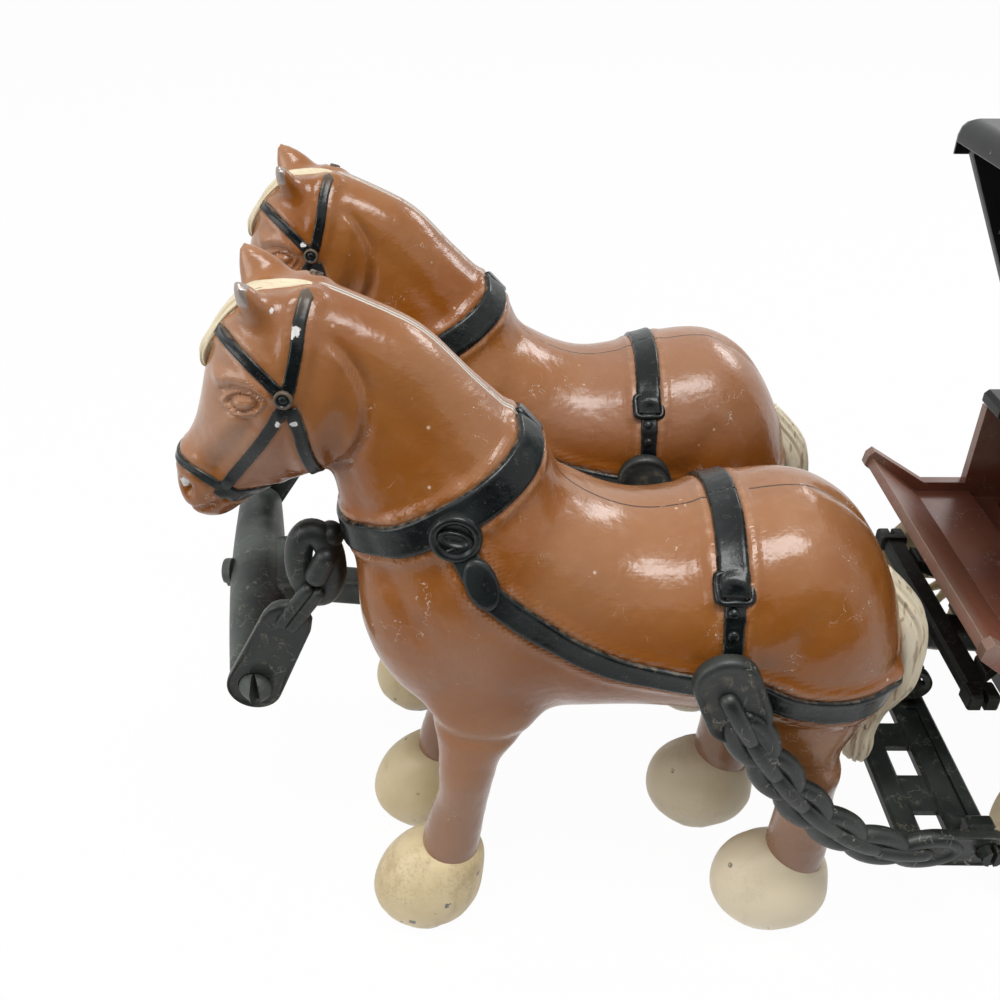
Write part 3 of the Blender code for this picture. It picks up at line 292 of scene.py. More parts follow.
RIGHT_EAR = (
    (-9, 96.6, -1.6, 99.2, 2.5, 4.2), (-9.4, 99.6, -3, 100.8, 2.2, 5), (-9.3, 102, -5.4, 102.6, 1.5, 5.5),
    (-9.1, 103.2, -7, 103.4, 0.9, 5.7), (-8.6, 103.9, -8.1, 103.9, 0.3, 5.8))


def flowing(rows, count):
    """Rows of a table, read at even steps along the curve that runs through all of them."""
    rows = np.array(rows, dtype=float)
    along = np.linspace(0, len(rows) - 1, count)
    i = np.minimum(along.astype(int), len(rows) - 2)
    t = (along - i)[:, None]
    a, b, c, d = (rows[np.clip(i + k, 0, len(rows) - 1)] for k in (-1, 0, 1, 2))
    return b + 0.5 * t * (c - a + t * (2 * a - 5 * b + 4 * c - d + t * (3 * (b - c) + d - a)))


def circle(sides):
    """Angles spread evenly round a circle."""
    return np.linspace(0, 2 * pi, sides, endpoint=False)


def ovals(sections, rings, sides, squareness=1):
    """Grid of ovals across the horse: middle + cos(a) half length + sin(a) half width, round angle a.

    A squareness under 1 raises cos and sin to that power, which fills the oval's corners.
    """
    fx, fz, bx, bz, half, side = flowing([(*row, 0)[:6] for row in sections], rings).T[:, :, None]
    c, s = (np.sign(wave) * np.abs(wave) ** squareness
            for wave in (np.cos(circle(sides)), np.sin(circle(sides))))
    grid = ((fx + bx) / 2 + (fx - bx) / 2 * c, side + half * s, (fz + bz) / 2 + (fz - bz) / 2 * c)
    return np.stack(grid, axis=-1)


def solid(name, grids, closed=False):
    """A mesh object from grids of points in millimetres, each closed round its second direction.

    Rings are joined by four-sided faces, with one flat face over each end, or end to end if closed.
    """
    faces, first = [], 0
    for grid in grids:
        rings, sides = grid.shape[:2]
        j = np.arange(sides)
        i = np.arange(rings if closed else rings - 1)[:, None]
        after = (i + 1) % rings
        quads = np.stack([i * sides + j, i * sides + (j + 1) % sides,
                          after * sides + (j + 1) % sides, after * sides + j], axis=-1)
        faces += (quads.reshape(-1, 4) + first).tolist()
        if not closed:
            faces += [(j[::-1] + first).tolist(), (j + first + (rings - 1) * sides).tolist()]
        first += rings * sides
    mesh = bpy.data.meshes.new(name)
    mesh.from_pydata(np.concatenate([grid.reshape(-1, 3) for grid in grids]) * MM, [], faces)
    edited(mesh, lambda bm: bmesh.ops.recalc_face_normals(bm, faces=bm.faces))
    mesh.shade_smooth()
    return added(name, mesh)


def edited(mesh, change, source=None):
    """Let a function change a mesh's points and faces, or those that another mesh gives it."""
    bm = bmesh.new()
    bm.from_mesh(source or mesh)
    change(bm)
    bm.to_mesh(mesh)
    bm.free()


def applied(piece):
    """Replace a piece's mesh by what its modifiers make of it."""
    bpy.context.view_layer.update()
    graph = bpy.context.evaluated_depsgraph_get()
    mesh = bpy.data.meshes.new_from_object(piece.evaluated_get(graph))
    piece.modifiers.clear()
    piece.data = mesh
    return piece


def read(items, key, kind=np.float32, width=1):
    """One number or row of numbers from each of a mesh's parts."""
    flat = np.empty(len(items) * width, dtype=kind)
    items.foreach_get(key, flat)
    return flat.reshape(-1, width) if width > 1 else flat


def points_of(mesh):
    """A mesh's points in millimetres, as an array of rows."""
    return read(mesh.vertices, "co", width=3).astype(float) / MM


def normals_of(mesh):
    """A mesh's point normals, as an array of rows."""
    return read(mesh.vertex_normals, "vector", width=3).astype(float)


def set_points(mesh, points):
    mesh.vertices.foreach_set("co", (points * MM).astype(np.float32).ravel())
    mesh.update()


def relaxed(mesh, points, rounds, weight=1):
    """Points drawn halfway to the mean of their neighbours, again and again, by a share of weight."""
    a, b = read(mesh.edges, "vertices", np.int32, 2).T
    here, there = np.concatenate([a, b]), np.concatenate([b, a])
    count = np.bincount(here, minlength=len(points))[:, None]
    for _ in range(rounds):
        total = [np.bincount(here, points[there, k], len(points)) for k in range(3)]
        points = points + 0.5 * weight * (np.stack(total, axis=-1) / count - points)
    return points


def stepped(sections, side, lead):
    """One side's leg (-1 left, 1 right) whose lower part is stepped forward by lead, from z 46 to 26."""
    rows = np.array([(*row, LEG_Y)[:6] for row in sections])
    rows[:, [0, 2]] -= np.clip((46 - rows[:, 1]) / 20, 0, 1)[:, None] * lead
    rows[:, 5] *= side
    return rows


def ear(rows, side):
    """An ear as ovals drawn in on their front side, which makes the hollow that faces forward."""
    grid = ovals([(*row[:5], side * row[5]) for row in rows], 24, 40)
    middle = grid.mean(axis=1, keepdims=True)
    turn = np.angle(np.exp(1j * (circle(40)[:, None] - side * 0.85)))
    depth = (np.linspace(0.1, 0.75, 24) * np.sin(np.linspace(0.2, 2.9, 24)))[:, None, None]
    return middle + (grid - middle) * (1 - depth * np.exp(-(turn / 0.55) ** 2))


# The body, legs and ears are melted together and smoothed, less so at the ears, legs and head
grids = [ovals(TORSO, 90, 72, 0.94), ovals(NECK, 60, 60, 0.96), ovals(HEAD, 70, 60, 0.92),
         ear(LEFT_EAR, -1), ear(RIGHT_EAR, 1)]
for side, front, rear in LEADS.values():
    grids += [ovals(stepped(FRONT_LEG, side, front), 50, 40), ovals(stepped(REAR_LEG, side, rear), 50, 40)]
horse = solid("horse", grids)
melt = horse.modifiers.new("melt", "REMESH")
melt.mode = "VOXEL"
melt.voxel_size = CASTING_VOXEL * MM
points = points_of(applied(horse).data)
x, y, z = points.T
ears = np.clip((z - 98.5) / 2, 0, 1)
legs = np.clip((40 - z) / 8, 0, 1)
head = np.clip((z - 74) / 6, 0, 1) * np.clip((6 - x) / 6, 0, 1)
weight = 1 - 0.8 * np.maximum(ears, 0.6 * np.maximum(legs, head))
set_points(horse.data, relaxed(horse.data, points, 26, weight[:, None]))


def refine(bm):
    """Cut every edge of the head and crest in two, and every face between them into four."""
    bm.verts.ensure_lookup_table()
    edges = [e for e in bm.edges if chosen[e.verts[0].index] and chosen[e.verts[1].index]]
    bmesh.ops.subdivide_edges(bm, edges=edges, cuts=1, use_grid_fill=True)


points = points_of(horse.data)
chosen = (points[:, 0] < 9) & (points[:, 2] > 67)
edited(horse.data, refine)
points = points_of(horse.data)
finer = ((points[:, 0] < 10) & (points[:, 2] > 66))[:, None] * 1
set_points(horse.data, relaxed(horse.data, points, 4, finer))


# Harness. Every strap is cast with the horse, flat and a little proud, then painted satin black by
# hand. The enamel stands up in a thin welt along both edges of a strap, where it wears pale first.
COLLAR = ((25, 0.1, 83), (24.6, 4.5, 81), (21.6, 8.6, 78.8), (17.8, 10.4, 76.6), (13.5, 11, 74.4),
          (9.6, 10.4, 72.4), (5.5, 8, 71), (2.3, 4.4, 70), (1, 0.1, 69.6))
TRACE_STRAP = ((16.6, 11.8, 73.2), (19.9, 13.7, 67.7), (23.5, 14.6, 64.5), (27.9, 15, 61.1),
               (32.9, 15.1, 58.1), (38, 15.2, 56), (45.6, 15.5, 54.5), (50, 15.9, 53.8))
BACK_STRAP = ((50.3, 0.1, 72.4), (50.3, 4, 72.2), (50.2, 8.3, 70.5), (50.1, 10.8, 69), (50.1, 12.5, 67.3),
              (50.1, 13.3, 66.2))
BILLET = ((50.2, 13.2, 66.4), (50.2, 14.6, 64), (50.2, 15.5, 61.5), (50.2, 16.1, 58.6), (50.4, 16.3, 55.6))
BREECHING = ((53.6, 16.2, 52.8), (58, 16, 51), (61.5, 15.8, 50), (65.5, 15.2, 49.3), (70.4, 13.6, 48.9),
             (73.4, 10.2, 49.2), (75.4, 6.6, 49.8), (76.2, 3, 50.4))
BROWBAND = ((-10.6, 2.9, 96.8), (-9, 5.2, 96.4), (-7.4, 6.6, 95.4), (-5.6, 7.7, 93.9), (-3, 8.5, 91.3))
CROWN_STRAP = ((0.6, 3.1, 100.9), (0.2, 3.6, 100.8), (-0.4, 6, 98.6), (-0.9, 7.6, 95.4), (-2, 8.5, 91.4))
CHEEKPIECE = ((-2.8, 8.6, 89.4), (-4.8, 8.1, 86.2), (-7.2, 7.2, 82.9), (-9.6, 6, 79.8), (-12.2, 5, 76.6))
THROAT_STRAP = ((-2, 8.8, 89.4), (-1.4, 8.6, 87), (-1, 7.8, 84), (-0.7, 6.2, 81.2), (-0.5, 4.4, 79.2))
CHIN_STRAP = ((-12.8, 5, 76.8), (-11.2, 4.7, 75.4), (-9.2, 4, 75), (-7.2, 2.6, 75.8))
NOSEBAND = ((-18.7, 0.1, 79.4), (-17.8, 2.4, 79.4), (-15.4, 4.5, 78.8), (-12.6, 5, 77), (-11.8, 4.9, 76.2))
STRAPS = {
    "collar": ((COLLAR, 4.5, 0.75),),
    "trace_strap": ((TRACE_STRAP, 3.5, 0.7),),
    "back_strap": ((BACK_STRAP, 4.1, 0.75), (BILLET, 2.7, 0.6)),
    "breeching": ((BREECHING, 4.3, 0.65),),
    "bridle": ((BROWBAND, 1.5, 0.36), (CROWN_STRAP, 1.55, 0.4), (CHEEKPIECE, 1.45, 0.36),
               (THROAT_STRAP, 1.8, 0.36), (NOSEBAND, 1.3, 0.36), (CHIN_STRAP, 2.4, 0.3)),
}
STRAP_SINK = 0.5
STRAP_STEPS = 60
ACROSS = np.sin(np.linspace(-pi / 2, pi / 2, 15))
WELT_HEIGHT, WELT_WIDTH = 0.4, 0.8


def unit(vectors):
    vectors = np.asarray(vectors, dtype=float)
    return vectors / np.maximum(np.linalg.norm(vectors, axis=-1, keepdims=True), 1e-9)


def apart(points, others):
    """Squares of the distances from each point to each of the others."""
    return (points ** 2).sum(1)[:, None] - 2 * points @ others.T + (others ** 2).sum(1)


def facing(points):
    """The casting's own outward direction beside each point, from the nearest of every fifth point."""
    nearest = apart(points.reshape(-1, 3), points_of(horse.data)[::5]).argmin(axis=1)
    return normals_of(horse.data)[::5][nearest].reshape(points.shape)


def laid(points):
    """Points moved to the nearest place on the casting."""
    mesh = bpy.data.meshes.new("laid")
    mesh.from_pydata(points.reshape(-1, 3) * MM, [], [])
    sheet = added("laid", mesh)
    wrap = sheet.modifiers.new("wrap", "SHRINKWRAP")
    wrap.target = horse
    wrap.wrap_method = "NEAREST_SURFACEPOINT"
    wrap.wrap_mode = "ON_SURFACE"
    result = points_of(applied(sheet).data).reshape(points.shape)
    bpy.data.objects.remove(sheet, do_unlink=True)
    return result


def evened(rows, rounds=3):
    """Rows averaged with the rows before and after them, with both ends held."""
    for _ in range(rounds):
        rows = np.concatenate([rows[:1], (rows[:-2] + 2 * rows[1:-1] + rows[2:]) / 4, rows[-1:]])
    return rows


def strap(path, width, height):
    """A closed strap on the casting: flat across, with a square-shouldered face and a buried back.

    Across the strap s runs from -1 to 1, and the face stands height * sqrt(1 - s^10) off the casting.
    """
    line = evened(laid(flowing(path, STRAP_STEPS)))
    across = unit(np.cross(unit(np.gradient(line, axis=0)), evened(facing(line), 6)))
    flat = laid(line[:, None] + across[:, None] * (ACROSS * width / 2)[:, None])
    out = unit(evened(facing(flat), 5))
    face = flat + out * (height * np.sqrt(1 - ACROSS ** 10))[:, None]
    return np.concatenate([face, (flat - out * STRAP_SINK)[:, ::-1]], axis=1)


strap_lines = {name: [evened(laid(flowing(path, STRAP_STEPS))) for path, _, _ in rows]
               for name, rows in STRAPS.items()}


# Horse surface. The casting is given its face, its muscles and the welts beside the straps, each a
# low rise or groove along the surface's own direction.
CHEEK_CENTRE, CHEEK_RADIUS = (-3.5, 88.6), 9.7
EYE, EYE_HALF, EYE_TILT = (-7.5, 89.6), (1.75, 1.0), 0.12
NOSTRIL, NOSTRIL_HALF = (-16.9, 75.9), (0.75, 1.25)
KNOB = (73.2, 10.2, 51.2)


def near_line(points, line):
    """Distance from each point to the nearest of a line's points."""
    return np.sqrt(np.maximum(apart(points, line).min(axis=1), 0))


def hill(distance, width):
    """A smooth hill: 1 at no distance, falling as exp(-(distance / width)^2)."""
    return np.exp(-(distance / width) ** 2)


def step(value, low, high):
    """0 below low, 1 above high and an even curve between."""
    t = np.clip((value - low) / (high - low), 0, 1)
    return t * t * (3 - 2 * t)


points = points_of(horse.data)
mirror = np.abs(points) * [0, 1, 0] + points * [1, 0, 1]
x, y, z = mirror.T
flank = step(y, 2, 5)

lip = np.zeros(len(points))
for name, rows in STRAPS.items():
    for (path, width, height), line in zip(rows, strap_lines[name]):
        edge = near_line(mirror, line) - width / 2 - 0.5
        welt = hill(edge, WELT_WIDTH) * (0.62 if name == "bridle" else 1)
        if name == "breeching":
            order = np.argsort(line[:, 0])
            above = step(z - np.interp(x, line[order, 0], line[order, 2]), 0.5, 1.5)
            welt = welt * (1 - above) + 1.6 * above * hill(edge - 0.3, 1)
        lip = np.maximum(lip, welt)
relief = WELT_HEIGHT * lip + hill(near_line(mirror, np.array([KNOB])), 1.5)

# Face: cheek plate, eye in its socket with lids, and nostril
cheek = np.hypot(x - CHEEK_CENTRE[0], z - CHEEK_CENTRE[1])
behind = step(x + 0.35 * (88 - z), -1.5, 2)
plate = 0.8 * step(CHEEK_RADIUS - cheek, -0.4, 0.8) - 0.3 * hill(cheek - CHEEK_RADIUS - 0.5, 0.7)
relief += flank * behind * plate * step(z, 74, 78) * step(100 - z, 0, 3) * step(12.5 - cheek, 0, 1.5)
ex, ez = x - EYE[0], z - EYE[1]
ex, ez = ex + EYE_TILT * ez, ez - EYE_TILT * ex
lens_high = EYE_HALF[1] * (1 - 0.18 * (ex / EYE_HALF[0]) ** 2).clip(0.5)
around = np.hypot(ex / EYE_HALF[0], ez / lens_high)
eye_side = step(y, 3, 4.5)
relief += eye_side * (0.62 * step(1 - around, -0.1, 0.7) - 0.4 * hill(np.hypot(ex / 3.6, ez / 3), 0.9)
                      - 0.25 * hill(around - 1.06, 0.16) + 0.42 * hill(around - 1.42, 0.24)
                      - 0.12 * step(-ez, -0.2, 0.4) * hill(around - 1.9, 0.2))
nostril = np.hypot((x - NOSTRIL[0]) / NOSTRIL_HALF[0], (z - NOSTRIL[1]) / NOSTRIL_HALF[1])
relief += step(y, 1, 2.4) * (0.4 * hill(nostril, 2.2) - 1.15 * hill(nostril, 0.85))

# Ridges and grooves along curves in side view: gain, where, width, and the curve's corners as x, z
for gain, where, width, *curve in (
        (0.5, eye_side, 0.9, (-10.2, 91.9), (-8.4, 92.4), (-6.2, 92), (-4.6, 91)),  # brow
        (-0.3, eye_side, 0.4, (-10, 90.9), (-8.4, 91.3), (-6.4, 91.1), (-4.6, 90.4)),
        (-0.5, step(x, -20, -19), 0.4, (-18.6, 72.6), (-16.4, 72.6), (-14.2, 73.6), (-12.3, 74.8)),  # mouth
        (0.42, flank, 1.3, (-9, 87.2), (-12, 83.6), (-15, 80.6)),  # cheek ridge
        (-0.45, flank, 1.2, (-6.6, 86.6), (-9.6, 82.6), (-12.6, 79.2)),
        (0.35, step(x, -2, 3) * step(6 - y, 0, 2.5), 1.6, (6, 94.6), (14, 89), (23, 82)),  # crest
        (-0.35, flank, 1.7, (5, 93), (11, 87.4), (17, 80.8)),  # neck
        (-0.4, flank, 1.8, (3, 80), (5, 74), (8, 67), (12, 60)),
        (-0.45, flank, 2.4, (29, 74), (27.6, 66), (28.4, 56), (29.4, 47)),  # shoulder
        (0.35, flank, 4.2, (20, 72), (18, 62), (20, 52)),
        (-0.42, step(y, 2, 6), 1.2, (4.4, 50), (8, 45.6), (14, 42.6), (24, 41.4)),  # breast
        (-0.5, flank, 2.6, (60.5, 63), (55, 54), (52.4, 47))):  # thigh
    relief += gain * where * hill(near_line(mirror[:, [0, 2]], flowing(curve, 60)), width)
relief -= 0.8 * step(3.5 - x, -3, 2) * hill(y, 1.6) * step(66 - z, 0, 4) * step(z, 42, 48)
relief += 0.4 * flank * hill(np.hypot(x - 66, (z - 58) / 1.4), 6)
relief -= 0.6 * step(x, 60, 66) * hill(y, 1.3) * step(z, 66, 70)
relief += 0.15 * hill(z - 32.5, 2.6) * step(38 - z, 0, 3) + 0.35 * hill(np.hypot(x - 69.6, z - 33.5), 2.4)
points = relaxed(horse.data, points + normals_of(horse.data) * relief[:, None], 1)
set_points(horse.data, points)


def carry(mesh, name, values):
    """Store a number for every point of a mesh, for its material to read."""
    layer = mesh.attributes.new(name, "FLOAT", "POINT")
    layer.data.foreach_set("value", np.asarray(values, dtype=np.float32))


hollow = ((relaxed(horse.data, points, 14) - points) * normals_of(horse.data)).sum(axis=1)
carry(horse.data, "hollow", hollow)
carry(horse.data, "lip", lip)
HORSES = {"near": (POLL_X, -HORSE_Y, 0), "off": (POLL_X - OFF_LEAD, HORSE_Y, 0)}
ENAMEL = (0.305, 0.116, 0.030)
ENAMEL_DEEP = (0.240, 0.070, 0.006)
ENAMEL_PALE = (0.50, 0.29, 0.18)
ENAMEL_ROSE = (0.36, 0.185, 0.105)
ENAMEL_SCRATCH = (0.72, 0.54, 0.40)
GRIME = (0.035, 0.018, 0.012)
# Painted shade on the lower legs: a duller, greyer brown
LEG_PAINTED_SHADE = (0.235, 0.150, 0.105)
CREST_PALE = (0.74, 0.66, 0.56)
CHIP_WHITE = (0.74, 0.73, 0.71)
BARE_ZINC = (0.50, 0.49, 0.47)
EAR_ZINC = (0.36, 0.36, 0.35)
# How much each horse's top of the back is painted paler, as a painted highlight
TOP_PAINTED_HIGHLIGHT = {"near": 0.32, "off": 0.05}
ENAMEL_CHIPS = {"near": (((-3.5, -4.8, 99.8), 0.4), ((-17.3, -3.5, 76.7), 0.7)),
                "off": (((-16.8, -4.0, 78.2), 0.4),)}


def chipped(paint, colour, chips, chip_colour):
    """A colour with chips at given places, each with its radius."""
    return paint.coats(colour, *((paint.mark(place, radius), chip_colour) for place, radius in chips))


def brown_enamel(word, centre, shift):
    """Glossy brown enamel, deeper where it ran thick, dirty in hollows, pale and chipped on edges, with
    painted light: a paler face and top of the back, and painted shade on the low flank and lower legs.
    """
    paint = Finish(f"brown_enamel_{word}", centre, shift, roughness=0.3, specular_ior_level=0.36,
                   coat_weight=0.18, coat_roughness=0.06)
    hollow, lip = paint.painted("hollow"), paint.painted("lip")
    cloud, mottle, speck, breaks = paint.noises((0.045, 3), (0.5, 4), (3, 2), (0.35, 2))
    drift = paint.noise(0.022, 2, 5)
    x, y, z = paint.axes()
    worn = (lip * 0.6 + mottle * 0.9 + cloud * 0.2).rise(0.95, 1.5)
    edge = (hollow * -2.2 + mottle * 0.8).rise(0.8, 1.4)
    dirt = (hollow * 2.4 + mottle * 0.7).rise(0.8, 1.6)
    # Painted light: the face is painted paler, as if lit from ahead; the top of the back is painted paler as
    # a painted highlight; the low flank is painted deeper as painted shade.
    face = x.rise(-4, -9) * z.rise(76, 84)
    top_highlight = z.rise(66, 74) * x.rise(26, 34)
    low = z.rise(66, 58) * z.rise(44, 48) * x.rise(18, 26)
    patch = paint.noise(0.16, 1, 40).rise(0.60, 0.66)
    scratch = paint.cracks(0.16, 7, 0.010, 0.003) * patch * speck.rise(0.42, 0.55)
    dots = paint.cells(0.3).rise(0.085, 0.05) * paint.noise(0.12, 1).rise(0.5, 0.6)
    chip = (mottle + speck * 0.2 + hollow * -0.35).rise(0.94, 0.96)
    colour = paint.coats(
        ENAMEL, (cloud.rise(0.36, 0.62), ENAMEL_DEEP), (drift.rise(0.42, 0.66) * 0.6, ENAMEL_ROSE),
        (mottle.rise(0.5, 0.8) * 0.22, ENAMEL_ROSE), ((worn * 0.75 + edge * 0.6).clamp(), ENAMEL_PALE),
        # The face and the top of the back are painted paler here, as painted highlight.
        (dirt * 0.7, GRIME), ((face * 0.42 + top_highlight * TOP_PAINTED_HIGHLIGHT[word]) * (mottle * 0.8 + 0.6), ENAMEL_PALE),
        # Painted shade: the low flank is painted deeper, and the lower legs duller and greyer below z 44.
        (low * (drift * 0.8 + 0.4), ENAMEL_DEEP), (z.rise(44, 24) * (cloud * 0.6 + 0.45) * 0.7, LEG_PAINTED_SHADE),
        ((scratch + dots).clamp() * 0.7, ENAMEL_SCRATCH), (chip, BARE_ZINC))
    colour = chipped(paint, colour, ENAMEL_CHIPS[word], CHIP_WHITE)
    across = y.math("ABSOLUTE")
    crest = x.rise(0.8, 1.8) * x.rise(25.5, 24.5) * z.rise(80, 82)
    pale_line = across.rise(0.62, 0.42) * crest * (breaks + mottle * 0.4).rise(0.50, 0.60)
    seam = across.rise(0.17, 0.06) * breaks.rise(0.34, 0.42) * (x.rise(26, 30) + crest * 0.8).clamp()
    tip = x.rise(-4.8, -5.8) * z.rise(99.6, 100.8) * y.rise(0, -1)
    zinc = (tip + mottle * 0.7 + speck * 0.2).rise(1.25, 1.4)
    colour = paint.coats(
        colour, (pale_line * 0.85, CREST_PALE), (seam * 0.92, GRIME), (zinc * 0.7, EAR_ZINC))
    rough = cloud * 0.12 + drift * 0.1 + dirt * 0.3 + worn * 0.15 + chip * 0.2 + 0.14
    swell = paint.noise(0.11, 1, 3) * 4 + paint.noise(0.5, 2) * 1.1
    height = swell + mottle * 0.12 + speck * 0.05 - scratch * 0.4 - chip * 0.5 + pale_line * 0.8 - seam * 1.4
    return paint.finish(colour, rough, (chip + zinc * 0.5).clamp() * 0.8, height, 0.12)


def on_horse(piece, word):
    """Stand a piece that was made round the poll on one of the horses."""
    piece.data.transform(Matrix.Translation(Vector(HORSES[word]) * MM))
    return piece


def shown(piece, material, slot, body="front_gear", *replaced):
    """Give a piece its finish, let it ride on a body, and hide the CAD nodes that it stands for."""
    piece.data.materials.clear()
    piece.data.materials.append(material)
    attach(piece, body)
    if replaced:
        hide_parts(*replaced)


for word, shift in (("near", 0), ("off", 31)):
    piece = on_horse(added(f"{word}_horse", horse.data.copy()), word)
    shown(piece, brown_enamel(word, HORSES[word], shift), "brown_enamel", "front_gear",
          f"{word}_horse_left_half", f"{word}_horse_right_half")


strap_grids = {name: [strap(*row) for row in rows] for name, rows in STRAPS.items()}
strap_wear = np.concatenate([ACROSS ** 4, np.ones(len(ACROSS))])
HARNESS_BLACK = (0.0040, 0.0058, 0.0062)
HARNESS_GREY = (0.026, 0.032, 0.031)
HARNESS_SPARK = (0.20, 0.19, 0.17)
HARNESS_RUBBED = (0.20, 0.145, 0.10)
HARNESS_CHIPS = {"near": (((-0.9, -6.4, 97.9), 0.65), ((-3.5, -9.2, 87.5), 0.45), ((-1.7, -9.2, 87.5), 0.4),
                          ((40.8, -17.4, 57.6), 0.7), ((34.8, -17, 62), 0.4)),
                 "off": (((-3.6, -8, 92.4), 0.5), ((40.8, -17.4, 57.6), 0.4))}


def mirrored(grids):
    """The same grids on the horse's other side."""
    return [grid * (1, -1, 1) for grid in grids]


def harness_black(word, centre, shift):
    """Satin black paint, rubbed grey and dusty in places, with chips down to the brown and the zinc."""
    paint = Finish(f"harness_black_{word}", centre, shift, roughness=0.3, specular_ior_level=0.3)
    cloud, mottle, speck, swell = paint.noises((0.12, 4), (0.9, 4), (4, 2), (0.6, 2))
    edge = paint.painted("edge")
    rub = (edge * 0.9 + mottle * 0.9 + speck * 0.2).rise(1.25, 1.55)
    chip = (mottle + speck * 0.1 + edge * 0.04).rise(0.88, 0.90)
    colour = paint.coats(
        HARNESS_BLACK, (cloud.rise(0.42, 0.75) * 0.8, HARNESS_GREY),
        ((mottle * speck).rise(0.34, 0.42) * 0.18, HARNESS_SPARK), (rub * 0.6, HARNESS_RUBBED),
        (chip, BARE_ZINC))
    colour = chipped(paint, colour, HARNESS_CHIPS[word], CHIP_WHITE)
    faded = paint.axes()[2].rise(98.6, 101.2) * (mottle * 0.5 + 0.65)
    colour = paint.coats(colour, (faded * 0.6, HARNESS_RUBBED))
    height = mottle * 0.15 + speck * 0.08 + cloud * 0.5 - chip * 0.5 + swell * 0.6
    return paint.finish(colour, cloud * 0.22 + mottle * 0.12 + 0.10, None, height, 0.13)


BLACK_PAINT = {word: harness_black(word, HORSES[word], shift) for word, shift in (("near", 0), ("off", 17))}
for word in HORSES:
    for name, grids in strap_grids.items():
        piece = on_horse(solid(f"{word}_{name}", grids + mirrored(grids)), word)
        carry(piece.data, "edge", np.tile(strap_wear, 2 * len(grids) * STRAP_STEPS))
        shown(piece, BLACK_PAINT[word], "black_plastic")


# Harness fittings. Rosettes at the brow, a keeper tab with a slot below the collar, a square buckle
# and two studs on the back strap, all cast with the horse and painted black.
ROSETTE, ROSETTE_RING = (-2.5, 8.6, 90.7), 0.72
TAB, TAB_TONGUE = (16.5, 11.5, 74.2), (19.6, 13.4, 68.6)
BUCKLE, BUCKLE_HALF, BUCKLE_BAR, BUCKLE_LIFT, BUCKLE_DIP = (50.1, 12.6, 67.2), (2.15, 1.75), 0.5, 0.2, 0.7
STUDS = ((50, 14.3, 64.4), (50.1, 15.2, 62.2))
# Turned profiles: radius and height off the casting
DOME = [(0.02, -0.6), (1.05, -0.6), (1.1, 0.7), (1.02, 0.86), (0.86, 0.9), (0.72, 0.82), (0.66, 0.66),
        (0.58, 0.62), (0.46, 0.78), (0.26, 0.86), (0.02, 0.88)]
TAB_RIM = [(0.02, -0.8), (3, -0.8), (3.25, 0.5), (3.2, 1.15), (2.95, 1.5), (2.6, 1.55), (2.3, 1.4),
           (2.1, 1.1), (1.85, 1), (0.02, 0.95)]
TAB_SLOT = [(0.02, 0.6), (1.7, 0.6), (1.75, 1.15), (1.65, 1.4), (1.45, 1.45), (1.25, 1.3), (1.1, 1),
            (0.02, 0.9)]
TONGUE = [(0.02, -0.6), (1.95, -0.6), (2, 0.8), (1.85, 1.05), (1.5, 1.15), (0.02, 1.2)]
STUD = [(0.02, 0.2), (0.72, 0.2), (0.74, 0.75), (0.62, 0.98), (0.35, 1.12), (0.02, 1.16)]


def turned(profile, centre, axis, sides=64, ahead=None, stretch=(1, 1)):
    """A profile of (radius, along) rows carried round an axis: centre + along axis + radius turned."""
    axis = unit(axis)
    first = unit(np.cross(axis, [0.3, 0.1, 1])) if ahead is None else ahead
    second = np.cross(axis, first)
    a = circle(sides)[:, None]
    ring = np.cos(a) * first * stretch[0] + np.sin(a) * second * stretch[1]
    radius, along = np.array(profile, dtype=float).T[:, :, None, None]
    return np.array(centre) + along * axis + radius * ring


def on_casting(place, turn=0):
    """A place on the casting, its outward direction, and one along the surface, turned from ahead."""
    spot = laid(np.array([place]))
    out = unit(facing(spot))[0]
    ahead = unit((1, 0, 0) - out[0] * out)
    return spot[0], out, ahead * np.cos(turn) + np.cross(out, ahead) * np.sin(turn)


def button(place, profile, sides=36, stretch=(1, 1), turn=0):
    """A turned button on the casting."""
    spot, out, ahead = on_casting(place, turn)
    return turned(profile, spot, out, sides, ahead, stretch)


def square_frame(place, halves, bar, lift, dip):
    """A rounded square frame on the casting, its upper end sunk: a round bar along a superellipse."""
    spot, out, ahead = on_casting(place)
    c, s = np.cos(circle(72))[:, None], np.sin(circle(72))[:, None]
    shape = (np.abs(c) ** 6 + np.abs(s) ** 6) ** (-1 / 6)
    flat = shape * (c * halves[0] * ahead + s * halves[1] * np.cross(out, ahead))
    b = circle(12)[None, :, None]
    line = (spot + flat + out * (lift + dip * s))[:, None]
    return line + bar * (np.cos(b) * unit(flat)[:, None] + np.sin(b) * out)


fittings = {
    "rosette": [button(ROSETTE, DOME)],
    "collar_tab": [button(TAB, TAB_RIM), button(TAB, TAB_SLOT, stretch=(1.25, 0.62), turn=0.25),
                   button(TAB_TONGUE, TONGUE, stretch=(1, 1.7), turn=-0.35)],
    "studs": [button(place, STUD, 20) for place in STUDS],
    "back_buckle": [square_frame(BUCKLE, BUCKLE_HALF, BUCKLE_BAR, BUCKLE_LIFT, BUCKLE_DIP)],
}
for word in HORSES:
    for name, grids in fittings.items():
        buckle = name == "back_buckle"
        piece = solid(f"{word}_{name}", mirrored(grids) + ([] if buckle else grids), closed=buckle)
        wear = np.full(len(piece.data.vertices), 0.35)
        if name == "rosette":
            reach = near_line(np.abs(points_of(piece.data)) * [-1, 1, 1], laid(np.array([ROSETTE])))
            wear += 0.9 * step(reach, ROSETTE_RING + 0.3, ROSETTE_RING + 0.5)
        carry(piece.data, "edge", wear)
        shown(on_horse(piece, word), BLACK_PAINT[word], "black_plastic")


